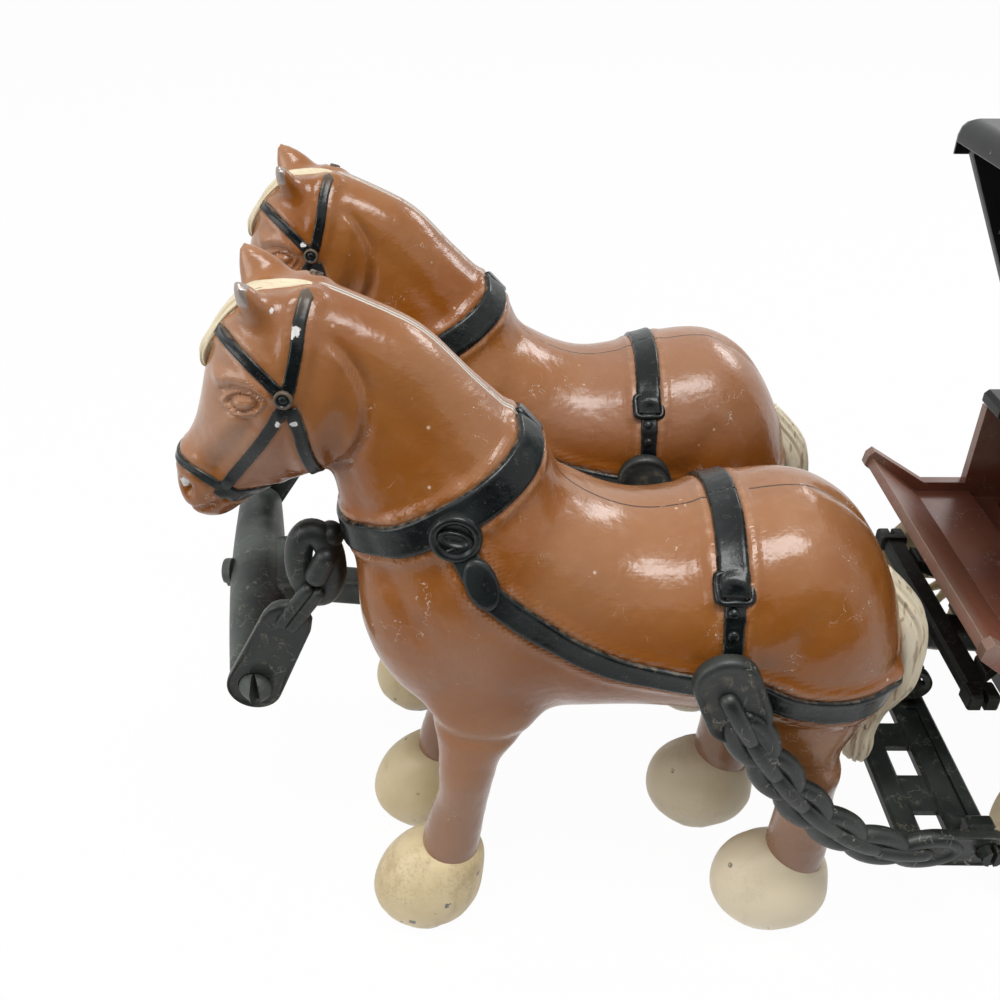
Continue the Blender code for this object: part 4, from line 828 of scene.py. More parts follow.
# Feathers, forelock and tail. They are part of the castings and painted cream by hand, with combed
# strands in low relief and brown dirt between them. The soles are worn to the grey zinc.
FRONT_FEATHER = (
    (10.7, 17.2, 18.8, 16.2, 3.9), (9.4, 17, 19.2, 15.4, 4.5), (7.4, 16, 19.5, 14, 5.3),
    (4.9, 13.6, 19.5, 11.8, 6.1), (3.2, 10.4, 19.3, 9, 6.6), (2.4, 6.9, 18.6, 6.2, 6.4),
    (3, 3.5, 17.2, 3.2, 5.5), (4.9, 1.1, 15.2, 1, 4.3), (6.4, 0.06, 13.8, 0.06, 3.3),
    (10, 0.05, 10.2, 0.05, 0.1))
REAR_FEATHER = (
    (62.4, 16.6, 71.4, 13, 3.9), (60.6, 16.2, 71.8, 12.4, 4.5), (58.2, 15, 72.2, 11.4, 5.3),
    (56, 12.8, 72.6, 9.8, 6.2), (54.9, 9.8, 72.8, 7.9, 6.6), (54.9, 6.4, 72.6, 5.4, 6.4),
    (56.2, 3.2, 71.4, 2.8, 5.5), (58.2, 1, 69.4, 0.95, 4.3), (59.8, 0.06, 67.6, 0.06, 3.3),
    (63.6, 0.05, 63.8, 0.05, 0.1))
TAIL = (
    (70.6, 56.5, 74.6, 61, 2), (73.6, 52.6, 80.2, 54.6, 3.2), (76.2, 47.6, 81.8, 49.1, 3.8),
    (77.4, 42.6, 81.8, 42.4, 3.7), (77, 38.6, 80.4, 38.4, 3), (75.8, 35.4, 79, 35, 2.3),
    (74.6, 32, 78.4, 31.2, 2.3), (74, 28.8, 78.6, 27.8, 2.6), (74.5, 26, 78.2, 25.6, 2.2),
    (75.8, 24.6, 77.4, 24.5, 0.6))
FORELOCK = (
    (0.2, 101, 0.6, 100.4, 0.35), (-1.8, 101.2, -1.2, 99.8, 1.1), (-4.2, 101.2, -3, 99.4, 1.7),
    (-7, 100.8, -5.6, 98.8, 2.3),
    (-9.5, 99.1, -7.6, 97.4, 3), (-11.7, 96.4, -9.6, 95.6, 3.5), (-13.2, 94, -11.2, 93.4, 3.3),
    (-13.6, 91.9, -12, 91.7, 2.3), (-13.1, 90.5, -12.5, 90.4, 0.5))
SOLE_WORN = 4.2
SOLE_CHIPS = {"near": (((8.5, -16.2, 4.8), 0.7), ((14, -16.9, 9.6), 0.6), ((6.6, -15.6, 3.6), 0.5)),
              "off": (((6, -16, 4.4), 0.6), ((60, -16.6, 6), 0.5))}
CREAM = (0.68, 0.56, 0.335)
CREAM_DEEP = (0.52, 0.39, 0.20)
CREAM_BRIGHT = (0.80, 0.72, 0.56)
CREAM_DIRT = (0.20, 0.12, 0.05)
CREAM_STAIN = (0.30, 0.19, 0.08)
CREAM_DOTS = (0.12, 0.09, 0.07)
SOLE_ZINC = (0.26, 0.24, 0.21)
SOLE_DARK = (0.16, 0.145, 0.125)
TAIL_STREAK = (0.30, 0.19, 0.10)


def combed(grid, strands, depth, sweep, fade=(0.12, 0.9)):
    """Raise strands on an oval grid: depth * sin(strands * angle + sweep * place), bent by a slow wave.

    The strands fade out towards both ends of the piece.
    """
    u, a = np.linspace(0, 1, grid.shape[0])[:, None], circle(grid.shape[1])
    slow = 1.6 * np.sin(3 * a + 5 * u) + 1.1 * np.sin(2 * a - 8 * u)
    wave = np.sin(strands * a + sweep * u + slow) + 0.45 * np.sin(2.3 * strands * a - sweep * u + 2 * slow)
    groove = (wave - 0.35 * np.abs(wave)) * step(u, 0, fade[0]) * (1 - step(u, fade[1], 1))
    out = unit(grid - grid.mean(axis=1, keepdims=True))
    return grid + out * (depth * groove)[:, :, None], groove


def lumpy(grid):
    """A foot's grid with a dent behind, above the sole, and low lumps: reach * (1 - dent + wave)."""
    u, a = np.linspace(0, 1, grid.shape[0])[:, None, None], circle(grid.shape[1])[:, None]
    dent = 0.09 * hill(u - 0.76, 0.05) * step(-np.cos(a), 0.1, 0.9)
    wave = 0.02 * np.sin(3 * a + 4 * u) * np.sin(pi * u)
    middle = grid.mean(axis=1, keepdims=True)
    return middle + (grid - middle) * (1 - dent + wave)


def cream_paint(word, centre, shift):
    """Cream paint with brown dirt in the grooves, thin streaks, and grey zinc where the soles wear."""
    paint = Finish(f"cream_paint_{word}", centre, shift, roughness=0.45)
    cloud, speck, rag = paint.noises((0.10, 3), (2.4, 2), (0.35, 3))
    mottle = paint.noise(0.55, 5, stretch=(1, 1, 0.45))
    strand = paint.noise(1.3, 2, stretch=(1, 1, 0.1))
    x, _, z = paint.axes()
    low = (paint.painted("groove") * -0.3 + mottle).rise(0.7, 1.1)
    patch = paint.noise(0.10, 2, 9).rise(0.46, 0.62)
    dots = paint.cells(0.22).rise(0.11, 0.07) * speck.rise(0.45, 0.5)
    worn = ((SOLE_WORN - z) * 0.25 + rag * 1.6).rise(1.55, 1.65)
    streak = strand.rise(0.56, 0.66) * x.rise(71.5, 73) * z.rise(23, 24)
    colour = paint.coats(
        CREAM, (cloud.rise(0.35, 0.75) * 0.55, CREAM_DEEP), (low * (patch * 0.6 + 0.1), CREAM_DIRT),
        (patch * mottle.rise(0.44, 0.70) * 0.34, CREAM_STAIN),
        (patch * speck.rise(0.52, 0.62) * 0.2, CREAM_DIRT), (z.rise(21.5, 24) * 0.5, CREAM_BRIGHT),
        (worn, SOLE_ZINC), (x.rise(30, 45) * 0.6, CREAM_BRIGHT), (streak * 0.7, TAIL_STREAK))
    colour = chipped(paint, colour, SOLE_CHIPS[word], SOLE_DARK)
    colour = paint.coats(colour, (dots * 0.8, CREAM_DOTS))
    height = mottle * 0.35 + speck * 0.12 - worn * 0.3
    return paint.finish(colour, cloud * 0.2 + low * 0.2 + 0.32, worn * 0.5, height, 0.16)


cream_pieces = {}
for name, (side, front, rear) in LEADS.items():
    for end, table, lead in (("front", FRONT_FEATHER, front), ("rear", REAR_FEATHER, rear)):
        foot = lumpy(ovals(stepped(table, side, lead), 80, 96))
        cream_pieces[f"{end}_{name}_feather"] = combed(foot, 7, 0.03, 2.5)
cream_pieces["tail"] = combed(ovals(TAIL, 160, 120, 0.9), 9, 0.2, 7, (0.05, 0.98))
cream_pieces["forelock"] = combed(ovals(FORELOCK, 90, 60), 6, 0.2, 6, (0.06, 0.9))
for word, shift in (("near", 0), ("off", 23)):
    material = cream_paint(word, HORSES[word], shift)
    for name, (grid, groove) in cream_pieces.items():
        piece = on_horse(solid(f"{word}_{name}", [grid]), word)
        carry(piece.data, "groove", groove.ravel() * (0.25 if "feather" in name else 1))
        shown(piece, material, "brown_enamel")
bpy.data.objects.remove(horse, do_unlink=True)


# Neck yoke. A thick tapered bar of black plastic across the front of the pole, with a flat plate
# behind its middle and a split peg on each end that snaps into the eye of a strap. The pole's front
# pin goes through it and is headed over in front. Its edges are painted grey, partly dust and wear
# and partly a painted highlight.
YOKE = (-136.3, 0, 41)
YOKE_HALF = 23.4
YOKE_RADIUS, YOKE_TIP_RADIUS = 4.5, 3.7
YOKE_AXIS = np.array([-np.sin(radians(10.5)), np.cos(radians(10.5)), 0])
YOKE_PLATE = (7.6, 3, 5.8)
YOKE_SHOULDER = [(0.02, -0.5), (2.9, -0.5), (2.9, 0.9), (2.6, 1.2), (0.02, 1.2)]
PEG_RADIUS, PEG_LENGTH, PEG_SLIT = 2, 6.4, 1.2
PLASTIC_BLACK = (0.008, 0.0105, 0.0095)
PLASTIC_GREY = (0.072, 0.084, 0.075)
# Grey of the edges: partly rubbed wear, partly painted highlight
PLASTIC_RUBBED_AND_EDGE_HIGHLIGHT = (0.16, 0.165, 0.15)
PLASTIC_DUST = (0.23, 0.195, 0.125)
PLASTIC_SCRATCH = (0.42, 0.40, 0.35)


def black_plastic(name, dusty=1.0, shift=0, grey=1.0, gloss=0.28, rounded=False):
    """Dull black plastic, cloudy grey-green where it is handled, with tan dust left in its grooves, and grey
    on its edges, partly rubbed wear and partly a painted highlight.
    """
    plastic = Finish(name, shift=shift, roughness=0.45, specular_ior_level=gloss)
    cloud, mottle, speck = plastic.noises((0.09, 4), (0.6, 5), (3.5, 2))
    if rounded:
        edge = plastic.painted("corner") * 0.12 + 0.5
    else:
        edge = plastic.node("ShaderNodeNewGeometry", {}, {}, "Pointiness")
    scuff = plastic.noise(1.2, 3, stretch=(0.25, 0.25, 1)).rise(0.58, 0.75)
    # The edges are painted grey, partly wear and partly a painted highlight where they catch the light.
    rub = (edge * 6 - 3 + mottle * 0.5).rise(0.5, 0.9)
    dust = (mottle * 0.9 - edge * 7 + 3.4 + 0.13 * dusty).rise(0.55, 0.9) * cloud.rise(0.38, 0.55)
    scratch = plastic.cracks(0.3, 5, 0.022, 0.006) * plastic.noise(0.3, 1).rise(0.52, 0.6) * dusty
    colour = plastic.coats(
        PLASTIC_BLACK, (cloud.rise(0.38, 0.72) * grey, PLASTIC_GREY), (scuff * 0.25, PLASTIC_GREY),
        (rub * 0.45, PLASTIC_RUBBED_AND_EDGE_HIGHLIGHT), (dust * (0.55 * dusty), PLASTIC_DUST),
        ((mottle * speck).rise(0.36, 0.42) * 0.3, PLASTIC_DUST), (scratch * 0.28, PLASTIC_SCRATCH))
    height = mottle * 0.2 + speck * 0.12 + cloud * 0.3
    return plastic.finish(colour, cloud * 0.25 + mottle * 0.12 + 0.26, None, height, 0.12)


def prongs(root, axis, radius, length, slit):
    """The two halves of a split peg: a bar swelling to radius * 1.2 at 0.6 of its length and then
    pointed, each half held off the upright slit's plane, which opens in a V to the tip."""
    slit_way = np.array([1, 0, 0])
    t, a = np.linspace(0, 1, 28)[:, None], circle(32)
    swell = radius * (1 + 0.2 * hill(t - 0.6, 0.16)) * (1 - 0.62 * np.clip((t - 0.62) / 0.38, 0, 1) ** 1.4)
    gap = slit * np.clip(t - 0.5, 0, 1) ** 0.7
    beside = (swell * np.sin(a))[..., None] * np.cross(axis, slit_way)
    sides = [half * np.maximum(half * swell * np.cos(a), np.minimum(gap, swell * 0.96)) for half in (-1, 1)]
    middle = root + (t * length)[..., None] * axis
    return [middle + across[..., None] * slit_way + beside for across in sides]


def moulded(name, grids, material, *replaced, closed=False, slot="black_plastic", body="front_gear"):
    """Make a plastic piece of closed grids, with its edges kept sharp."""
    piece = solid(name, grids, closed)
    piece.data.set_sharp_from_angle(angle=radians(50))
    shown(piece, material, slot, body, *replaced)


def squared_bar(start, end, half_wide, half_high, corner=0.5, rings=(0, 0.004, 0.012, 0.988, 0.996, 1)):
    """A straight bar of rounded square section, |y/w|^9 + |z/h|^9 = 1, with its end corners taken off."""
    along = unit(np.subtract(end, start))
    wide = unit(np.cross((0, 0, 1), along))
    a = circle(48)[None, :, None]
    shape = (np.abs(np.cos(a)) ** 9 + np.abs(np.sin(a)) ** 9) ** (-1 / 9)
    ends = 1 - np.array([1, 0.3, 0, 0, 0.3, 1])[:, None, None] * corner / half_wide
    section = shape * ends * (np.cos(a) * half_wide * wide + np.sin(a) * half_high * np.cross(along, wide))
    return start + np.array(rings)[:, None, None] * np.subtract(end, start) + section


hitch_plastic = black_plastic("hitch_plastic")
s = np.linspace(-1, 1, 61)
belly = YOKE_TIP_RADIUS + (YOKE_RADIUS - YOKE_TIP_RADIUS) * (1 - np.abs(s) ** 1.7)
belly -= 0.55 * (1 - np.sqrt(1 - np.clip((np.abs(s) - 0.965) / 0.035, 0, 1) ** 2))
yoke_rows = [(0.02, -YOKE_HALF), *zip(belly, s * YOKE_HALF), (0.02, YOKE_HALF)]
yoke_grids = [turned(yoke_rows, YOKE, YOKE_AXIS)]
for way in (-YOKE_AXIS, YOKE_AXIS):
    root = YOKE + way * (YOKE_HALF - 0.4)
    yoke_grids += [turned(YOKE_SHOULDER, root, way), *prongs(root, way, PEG_RADIUS, PEG_LENGTH, PEG_SLIT)]
moulded("neck_yoke_bar", yoke_grids, hitch_plastic, "neck_yoke")

plate_long, plate_high, plate_rear = YOKE_PLATE
rearward = np.cross(YOKE_AXIS, (0, 0, 1))
plate_grid = squared_bar(YOKE + rearward * 0.2, YOKE + rearward * plate_rear, plate_long, plate_high, 0.4,
                         (0, 0.02, 0.05, 0.92, 0.97, 1))
moulded("neck_yoke_plate", [plate_grid], hitch_plastic)


# Yoke straps. A flat oval strap with a thin raised rim hooks over the yoke's peg. A short ridged
# link joins it to one big fat link, and a finger goes through that to the middle of the collar.
STRAP_Y, LINK_INSET = 25.4, 0.9
STRAP_LENGTH, STRAP_RADII, EYE_CLEAR = 13.1, (4.0, 3.5), 0.35
BIG_LINK, BIG_LINK_SHAPE = (-3, 62), (5.05, 2.25, 1.9, 0.92)
RIDGE_RADIUS, FINGER_RADIUS, CHEST_RADIUS = 0.95, 1.6, 1.9
CHEST = (1.1, 66.6)


def oval_plate(eye, far, y, radius, hole, rim=0.32, half_thick=0.62, far_radius=None):
    """A flat oval strap in a plane of constant y, round an eye: a closed grid of rings.

    Seen from the eye its edge is a circle, then two straight sides to a circle round far, L away:
    reach(a) = radius / |sin(a) - lean| where the side is met first, and the far circle past it,
    L cos a + sqrt(far_radius^2 - L^2 sin^2 a). The side leans by (radius - far_radius) / L.
    """
    far_radius = far_radius or radius
    length = np.linalg.norm(np.subtract(far, eye))
    ahead = np.subtract(far, eye) / length
    sine, cosine = np.abs(np.sin(circle(96))), np.cos(circle(96))
    lean = (radius - far_radius) / length
    upright = np.sqrt(1 - lean ** 2)
    straight = radius / np.maximum(sine * upright + lean * cosine, 1e-6)
    touch = straight * (cosine * upright - lean * sine)
    round_end = length * cosine + np.sqrt(np.maximum(far_radius ** 2 - (length * sine) ** 2, 0))
    reach = np.where(touch <= 0, radius, np.where(touch <= length * upright, straight, round_end))
    shares = np.array([0, 0.03, 0.35, 0.70, 0.80, 0.84, 0.90, 0.955, 0.985, 1])
    rises = np.concatenate([np.array([0.7, 1, 1, 1]) * half_thick,
                            np.array([0.8, 0.92, 1, 0.95, 0.7, 0.35]) * (half_thick + rim)])
    out = hole + (reach - hole) * np.concatenate([shares, shares[::-1]])[:, None]
    x = eye[0] + out * (cosine * ahead[0] - np.sin(circle(96)) * ahead[1])
    z = eye[1] + out * (cosine * ahead[1] + np.sin(circle(96)) * ahead[0])
    return np.stack([x, y + np.concatenate([rises, -rises[::-1]])[:, None] + 0 * x, z], axis=-1)


def link(centre, long_way, wide_way, half_long, half_wide, wire, flat):
    """A chain link: a bar of radius wire carried round an oval, a little flattened across it."""
    c, s = np.cos(circle(48))[:, None, None], np.sin(circle(48))[:, None, None]
    outward = unit(c * half_wide * long_way + s * half_long * wide_way)
    b = circle(16)[None, :, None]
    return (centre + c * half_long * long_way + s * half_wide * wide_way
            + wire * (np.cos(b) * outward + flat * np.sin(b) * unit(np.cross(long_way, wide_way))))


def rounded_bar(start, end, radius):
    """A bar with half-round ends: its radius follows sqrt(1 - r^2) over the last radius at each end."""
    length = np.linalg.norm(np.subtract(end, start))
    along = length / 2 * (1 - np.cos(np.linspace(0, pi, 22)))
    over = np.clip(1 - np.minimum(along, length - along) / radius, 0, 1)
    rows = list(zip(radius * np.sqrt(np.maximum(1 - over ** 2, 0.0004)), along))
    return turned(rows, start, np.subtract(end, start), 20)


strap_plastic = black_plastic("strap_plastic", 0.8, 8, 0.3, 0.42)
for word, side in (("near", -1), ("off", 1)):
    hx, hy, _ = HORSES[word]
    y, inside = side * STRAP_Y, side * (STRAP_Y - LINK_INSET)
    eye = (YOKE + YOKE_AXIS * y / YOKE_AXIS[1])[[0, 2]]
    big_x, big_z = hx + BIG_LINK[0], BIG_LINK[1]
    way = unit((big_x, big_z) - eye)
    foot = eye + way * (STRAP_LENGTH - 0.8)
    closed = [oval_plate(eye, eye + way * STRAP_LENGTH, y, STRAP_RADII[0], PEG_RADIUS + EYE_CLEAR,
                         far_radius=STRAP_RADII[1]),
              link((big_x, inside, big_z), np.array([0, 0, 1]), np.array([1, 0, 0]), *BIG_LINK_SHAPE)]
    bars = [rounded_bar((foot[0] + k * way[1], y + side * 0.7, foot[1] - k * way[0]),
                        (big_x + 0.1 + k * way[1], y + side * 0.9, big_z - 2.7 - k * way[0]), RIDGE_RADIUS)
            for k in (-0.75, 0.75)]
    bars += [rounded_bar((big_x - 0.4, inside + side * 1.5, big_z - 2.3),
                         (big_x + 2.6, inside + side * 1.4, big_z + 3.4), FINGER_RADIUS),
             rounded_bar((big_x + 0.6, inside, big_z + 4.2), (hx + CHEST[0], hy, CHEST[1]), CHEST_RADIUS)]
    moulded(f"{word}_yoke_strap_links", closed, strap_plastic, f"{word}_yoke_strap", closed=True)
    moulded(f"{word}_yoke_strap_bar", bars, strap_plastic)


# Pole. A straight plastic bar of rounded square section. Its front end is a round pin that goes
# through the neck yoke and has a flat head in front of it.
POLE_ENDS, POLE_HALVES = ((-129.5, 0, 40), (-7.8, 0, 28.6)), (2.4, 2.3)
POLE_PIN = [(0.02, -5), (1.6, -5), (1.6, 7.4), (0.02, 7.4)]
PIN_HEAD = [(0.02, -5.6), (1.6, -5.6), (1.95, -5.45), (2.1, -5.1), (2.1, -4.2), (0.02, -4.2)]
HEAD_LIFT = 1.2

pin_grids = [turned(POLE_PIN, YOKE, (1, 0, 0)),
             turned(PIN_HEAD, (YOKE[0], 0, YOKE[2] + HEAD_LIFT), (1, 0, 0))]
moulded("pole_bar", [squared_bar(*POLE_ENDS, *POLE_HALVES)], hitch_plastic, "pole")
moulded("pole_pin", pin_grids, hitch_plastic)


# Trace chains. Each is one plastic moulding: an oval pad with a raised rim that covers the end of
# the trace strap, twelve links lying edge on and face on in turn, and a flat end link with an eye
# that snaps over a split peg of the evener.
PAD_CENTRE, PAD_SLANT, PAD_HALF, PAD_RADIUS, PAD_OUT = (50.4, 54.6), (4.2, -10.7), 2.9, 4.2, 18.7
PEG_X = -26.8
OUTER_PEG, INNER_PEG = (39.6, 23.2), (7.8, 25)
END_LINK = (3, 1.75)
CHAIN_SAG, CHAIN_LINKS = 7.2, 12
FACE_LINK, EDGE_LINK = (4.3, 2.1, 1.35, 0.95), (4.1, 0.7, 1.15, 1.09)
WEB_HALVES = (4.0, 1.9, 0.8)


def chain_route(start, end, count):
    """A hanging chain's places and directions: a straight run let down by sag * 4 t (1 - t)."""
    t = np.linspace(0, 1, 200)[:, None]
    line = start * (1 - t) + end * t - np.array([0, 0, CHAIN_SAG]) * 4 * t * (1 - t)
    gone = np.concatenate([[0], np.cumsum(np.linalg.norm(np.diff(line, axis=0), axis=1))])
    marks = np.linspace(0, gone[-1], count)
    places, ways = (np.stack([np.interp(marks, gone, rows[:, k]) for k in range(3)], axis=-1)
                    for rows in (line, np.gradient(line, axis=0)))
    return zip(places, unit(ways))


def pebble(centre, way, across, half_long, half_wide, half_thick):
    """A flattened egg: a unit ball drawn out along three directions."""
    u, v = np.linspace(0.03, pi - 0.03, 20)[:, None, None], circle(28)[None, :, None]
    return (centre + np.cos(u) * half_long * way + np.sin(u) * np.cos(v) * half_wide * across
            + np.sin(u) * np.sin(v) * half_thick * np.cross(way, across))


chain_plastic = black_plastic("chain_plastic", 1.4, 12, 0.35, 0.48)
slant = unit(PAD_SLANT)
for word, side in (("near", -1), ("off", 1)):
    for place, out, (peg_y, peg_z) in (("outer", side, OUTER_PEG), ("inner", -side, INNER_PEG)):
        hx, hy, _ = HORSES[word]
        y = hy + out * PAD_OUT
        low = np.add((hx, 0), PAD_CENTRE) + slant * PAD_HALF
        start = np.array([low[0] + slant[0] * 0.6, y + out * 0.2, low[1] + slant[1] * 0.6])
        end = np.array([PEG_X - 8.6, side * peg_y, peg_z - 0.2])
        y_way = np.array([0, out, 0])
        links, webs = [], []
        for number, (spot, way) in enumerate(chain_route(start, end, CHAIN_LINKS)):
            up = unit(np.cross(way, y_way))
            if number % 2:
                links.append(link(spot, way, up, *FACE_LINK))
                webs.append(pebble(spot, way, up, *WEB_HALVES))
            else:
                links.append(link(spot + y_way * 0.05, way, y_way, *EDGE_LINK))
        webs += [rounded_bar((hx + 51.7 + 0.6 * k, y + out * 0.6, 52.6 + 0.3 * k),
                             (hx + 56.4 + 0.6 * k, y + out * 0.7, 44 + 0.3 * k), 0.75) for k in (-1, 1)]
        links += [oval_plate(low, low - 2 * slant * PAD_HALF, y, PAD_RADIUS, 0.02, 0.5, 0.6),
                  oval_plate((PEG_X, peg_z), (PEG_X - 8.4, peg_z), side * peg_y, *END_LINK, 0.28, 0.6)]
        name = f"{word}_{place}_chain"
        moulded(name, links, chain_plastic, f"{word}_{place}_trace", closed=True)
        moulded(f"{name}_webs", webs, chain_plastic)


# Box-shaped parts. The evener, splinter bar, hounds, bolsters, chassis, wagon body, seat, panels,
# frame, door and roof are straight mouldings and castings, so each keeps its solid's shape, with
# its corners rounded as they come from the mould.
MAROON = (0.27, 0.098, 0.056)
MAROON_DEEP = (0.16, 0.050, 0.030)
MAROON_WORN = (0.50, 0.36, 0.28)
# Painted reflection: a pale grey-brown over the body's upper parts
MAROON_PAINTED_REFLECTION = (0.46, 0.36, 0.29)
ROOF_BLACK = (0.010, 0.011, 0.012)
ROOF_CLOUD = (0.03, 0.032, 0.033)
ROOF_WORN_AND_EDGE_HIGHLIGHT = (0.30, 0.31, 0.32)


def corners(mesh):
    """1 at the points within the rounded corners, whose faces all have the bevel's material, else 0."""
    band, sides = (read(mesh.polygons, key, np.int32) for key in ("material_index", "loop_total"))
    mesh.polygons.foreach_set("material_index", np.zeros_like(band))
    points = read(mesh.loops, "vertex_index", np.int32)
    return np.bincount(points, np.repeat(1 - band, sides), len(mesh.vertices)) == 0


def merged(bm):
    """Take out doubled points and the edges that cross flat faces."""
    bmesh.ops.remove_doubles(bm, verts=bm.verts, dist=0.002 * MM)
    bmesh.ops.dissolve_limit(bm, angle_limit=radians(1), verts=bm.verts, edges=bm.edges)


def eased(node, width, material, slot, body):
    """A copy of a CAD piece, its corners rounded by width millimetres."""
    piece = added(f"{node}_rounded", bpy.data.meshes.new(f"{node}_rounded"))
    edited(piece.data, merged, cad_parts[node].data)
    for _ in range(2):
        piece.data.materials.append(material)
    bevel = piece.modifiers.new("corners", "BEVEL")
    bevel.material = 1
    bevel.width = width * MM
    bevel.segments = 3
    bevel.limit_method = "ANGLE"
    bevel.angle_limit = radians(35)
    bevel.miter_outer = "MITER_ARC"
    applied(piece)
    carry(piece.data, "corner", corners(piece.data))
    piece.data.shade_smooth()
    piece.data.set_sharp_from_angle(angle=radians(40))
    piece.modifiers.new("flat_faces", "WEIGHTED_NORMAL").keep_sharp = True
    shown(applied(piece), material, slot, body, node)


def maroon_enamel():
    """Satin maroon enamel, cloudy, with pink-brown wear on edges, pale specks and fine scratches, and a pale
    painted reflection in patches over its upper parts.
    """
    paint = Finish("maroon_enamel", roughness=0.4, coat_weight=0.1, coat_roughness=0.25)
    cloud, mottle, speck = paint.noises((0.05, 4), (0.5, 5), (3, 2))
    rub = (paint.painted("corner") * 0.8 + mottle * 0.7).rise(0.6, 0.95)
    dots = paint.cells(0.42).rise(0.12, 0.07) * speck.rise(0.5, 0.56)
    scratch = paint.cracks(0.2, 6, 0.012, 0.004) * paint.noise(0.2, 1).rise(0.55, 0.6)
    # Painted reflection: the parts above 46 mm are paled in patches, where the boards reflect the light.
    painted_reflection = paint.axes()[2].rise(46, 49.5) * (cloud * 0.7 + mottle * 0.5).rise(0.25, 0.65)
    colour = paint.coats(
        MAROON, (cloud.rise(0.35, 0.7), MAROON_DEEP), (rub * 0.25, MAROON_WORN),
        ((dots + scratch).clamp() * 0.6, MAROON_WORN), (painted_reflection * 0.4, MAROON_PAINTED_REFLECTION))
    return paint.finish(colour, cloud * 0.25 + mottle * 0.12 + 0.22, None,
                        mottle * 0.15 + speck * 0.1 - scratch * 0.3, 0.12)


def roof_enamel():
    """Black enamel on the roof, box and door, grey along its edges: partly wear, partly a painted highlight
    on the rounded edges.
    """
    paint = Finish("roof_enamel", roughness=0.35, specular_ior_level=0.3)
    cloud, mottle, speck = paint.noises((0.04, 4), (0.5, 5), (3, 2))
    # Grey edges: partly wear, partly a painted highlight where the rounded edges catch the light.
    rub = (paint.painted("corner") * 0.8 + mottle * 0.8).rise(0.7, 1)
    dots = paint.cells(0.3).rise(0.10, 0.06) * speck.rise(0.5, 0.56)
    colour = paint.coats(
        ROOF_BLACK, (cloud.rise(0.4, 0.75) * 0.4, ROOF_CLOUD), (rub * 0.6, ROOF_WORN_AND_EDGE_HIGHLIGHT),
        (dots * 0.7, ROOF_WORN_AND_EDGE_HIGHLIGHT))
    return paint.finish(colour, cloud * 0.2 + mottle * 0.1 + 0.22, None, mottle * 0.15 + speck * 0.1, 0.1)


gear_look = (black_plastic("gear_plastic", 0.7, 5, 0.3, rounded=True), "black_plastic")
maroon_look = (maroon_enamel(), "maroon_enamel")
roof_look = (roof_enamel(), "black_enamel")
for look, body, widths in (
        (gear_look, "front_gear", {"evener": 0.35, "evener_pin": 0.25, "evener_spacer": 0.2,
                                   "splinter_bar": 0.4, "near_hound": 0.35, "off_hound": 0.35,
                                   "front_bolster": 0.4}),
        (gear_look, "wagon", {"rear_bolster": 0.4, "chassis_plate": 0.3}),
        (maroon_look, "wagon", {"wagon_body": 0.35}),
        (gear_look, "wagon", {"seat": 0.3}),
        (roof_look, "wagon", {"left_side_panel": 0.3, "right_side_panel": 0.3, "money_box_bulkhead": 0.3,
                              "rear_frame": 0.3, "roof": 0.35}),
        (roof_look, "coin_door", {"coin_door": 0.3})):
    for node, width in widths.items():
        eased(node, width, *look, body)


# Wheels. Cream plastic with a flat rim, round tapered spokes and a turned hub, free on steel axles.
WHEELS = {"front": (-1.8, 18.8, 12), "rear": (98, 24, 14)}
WHEEL_Y = 30.6
RIM_HALF, RIM_DEPTH = 2.1, 5.4
HUB_HALF, HUB_RADIUS = 2.7, 4.4
BORE = 1.6
WHEEL_CREAM = (0.70, 0.57, 0.35)
WHEEL_YELLOWED = (0.52, 0.40, 0.20)
WHEEL_DIRT = (0.16, 0.11, 0.06)


def cream_plastic():
    """Cream plastic, yellowed in patches and dirty in spots."""
    plastic = Finish("cream_plastic", roughness=0.45)
    cloud, mottle, speck = plastic.noises((0.08, 4), (0.7, 5), (3, 2))
    dirt = (mottle * 0.8 + speck * 0.3).rise(0.62, 0.82)
    colour = plastic.coats(WHEEL_CREAM, (cloud.rise(0.35, 0.75), WHEEL_YELLOWED), (dirt * 0.55, WHEEL_DIRT))
    rough = cloud * 0.2 + mottle * 0.15 + 0.28
    return plastic.finish(colour, rough, None, mottle * 0.2 + speck * 0.1, 0.12)


def both_faces(rows):
    """A profile given from the middle plane out, followed by its mirror image."""
    return rows + [(radius, -along) for radius, along in reversed(rows)]


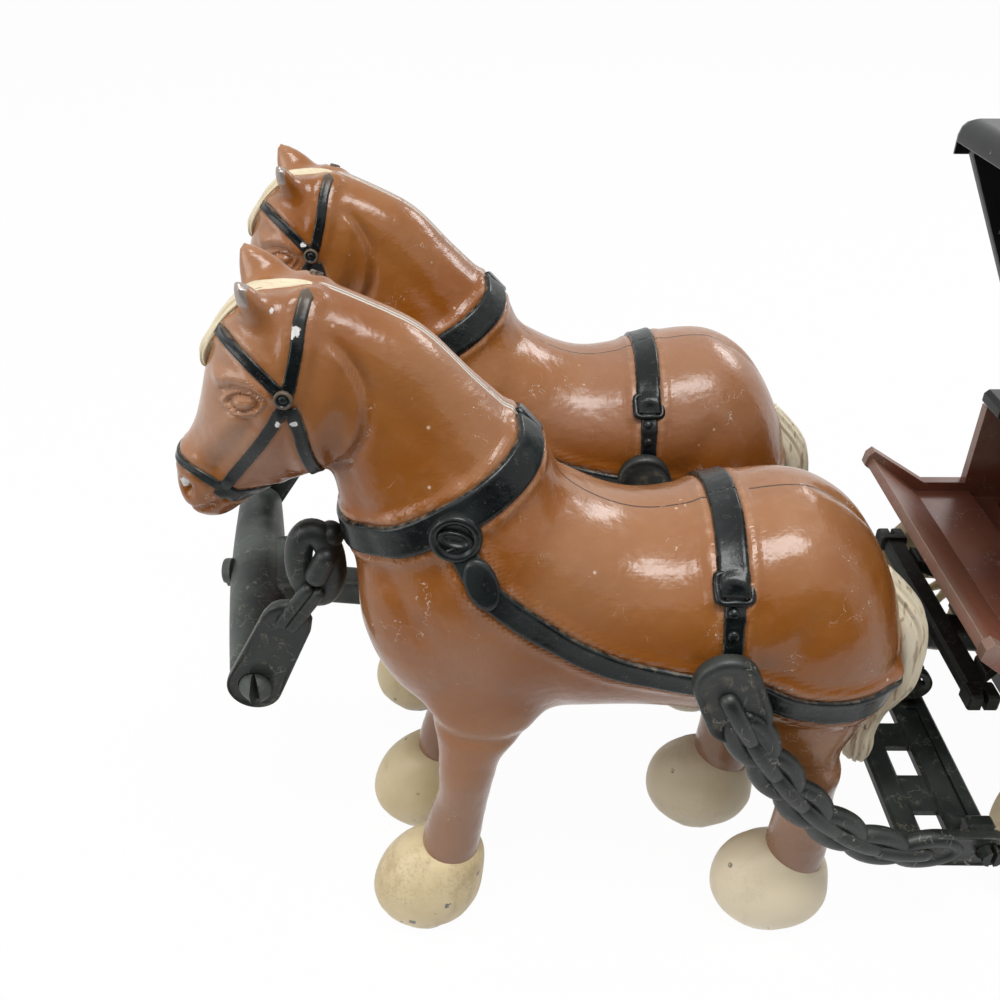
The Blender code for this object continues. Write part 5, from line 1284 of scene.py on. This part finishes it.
def wheel_grids(centre, spokes):
    """Grids of a wheel: rim and hub as closed turned rings, and spokes as tapered bars."""
    radius, half, inner = centre[2], RIM_HALF, centre[2] - RIM_DEPTH
    rim = both_faces([(radius, half - 0.5), (radius - 0.15, half - 0.15), (radius - 0.5, half),
                      (radius - 2, half), (radius - 2.2, half - 0.35), (inner + 1.5, half - 0.35),
                      (inner + 0.4, half - 0.5), (inner, half - 0.9)])
    hub = both_faces([(HUB_RADIUS, 1), (HUB_RADIUS - 0.3, 1.3), (3.3, 1.6), (3.1, HUB_HALF - 0.3),
                      (2.9, HUB_HALF), (BORE, HUB_HALF)])
    arm = [(1.35, 3.9), (1.05, 5.2), (0.8, 6.5), (0.72, (inner + 5) / 2), (0.8, inner - 1.6),
           (1.15, inner - 0.5), (1.5, inner + 0.7)]
    rings = [turned(rim, centre, (0, 1, 0), 120), turned(hub, centre, (0, 1, 0), 64)]
    return rings, [turned(arm, centre, (np.cos(a), 0, np.sin(a)), 20) for a in circle(spokes)]


wheel_plastic = cream_plastic()
for word, (x, radius, spokes) in WHEELS.items():
    for place, (side, _, _) in LEADS.items():
        node = f"{word}_{place}_wheel"
        rings, arms = wheel_grids((x, side * WHEEL_Y, radius), spokes)
        rides = {"slot": "cream_plastic", "body": node}
        moulded(f"{node}_rim_and_hub", rings, wheel_plastic, node, closed=True, **rides)
        moulded(f"{node}_spokes", arms, wheel_plastic, **rides)


# Steel parts: dowels, kingpin, axles, push nuts, chassis screws, hinge pin and lock stay as their
# solids, in drawn steel with fine turning lines, dull spots and a little rust.
STEEL, STEEL_DULL, RUST = (0.58, 0.58, 0.58), (0.42, 0.42, 0.43), (0.16, 0.09, 0.05)

steel = Finish("drawn_steel", roughness=0.35, metallic=1)
cloud, line = steel.noise(0.3, 4), steel.noise(1.2, 2, stretch=(0.15, 4, 4))
rust = steel.noise(0.6, 4, 9).rise(0.62, 0.75)
steel.finish(steel.coats(STEEL, (cloud, STEEL_DULL), (rust * 0.6, RUST)), cloud * 0.2 + rust * 0.3 + 0.22,
             1 - rust * 0.7, line * 0.3 + rust * 0.2, 0.05)
for node in [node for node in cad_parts.values() if not node.hide_render]:
    node.data.materials.clear()
    node.data.materials.append(steel.material)
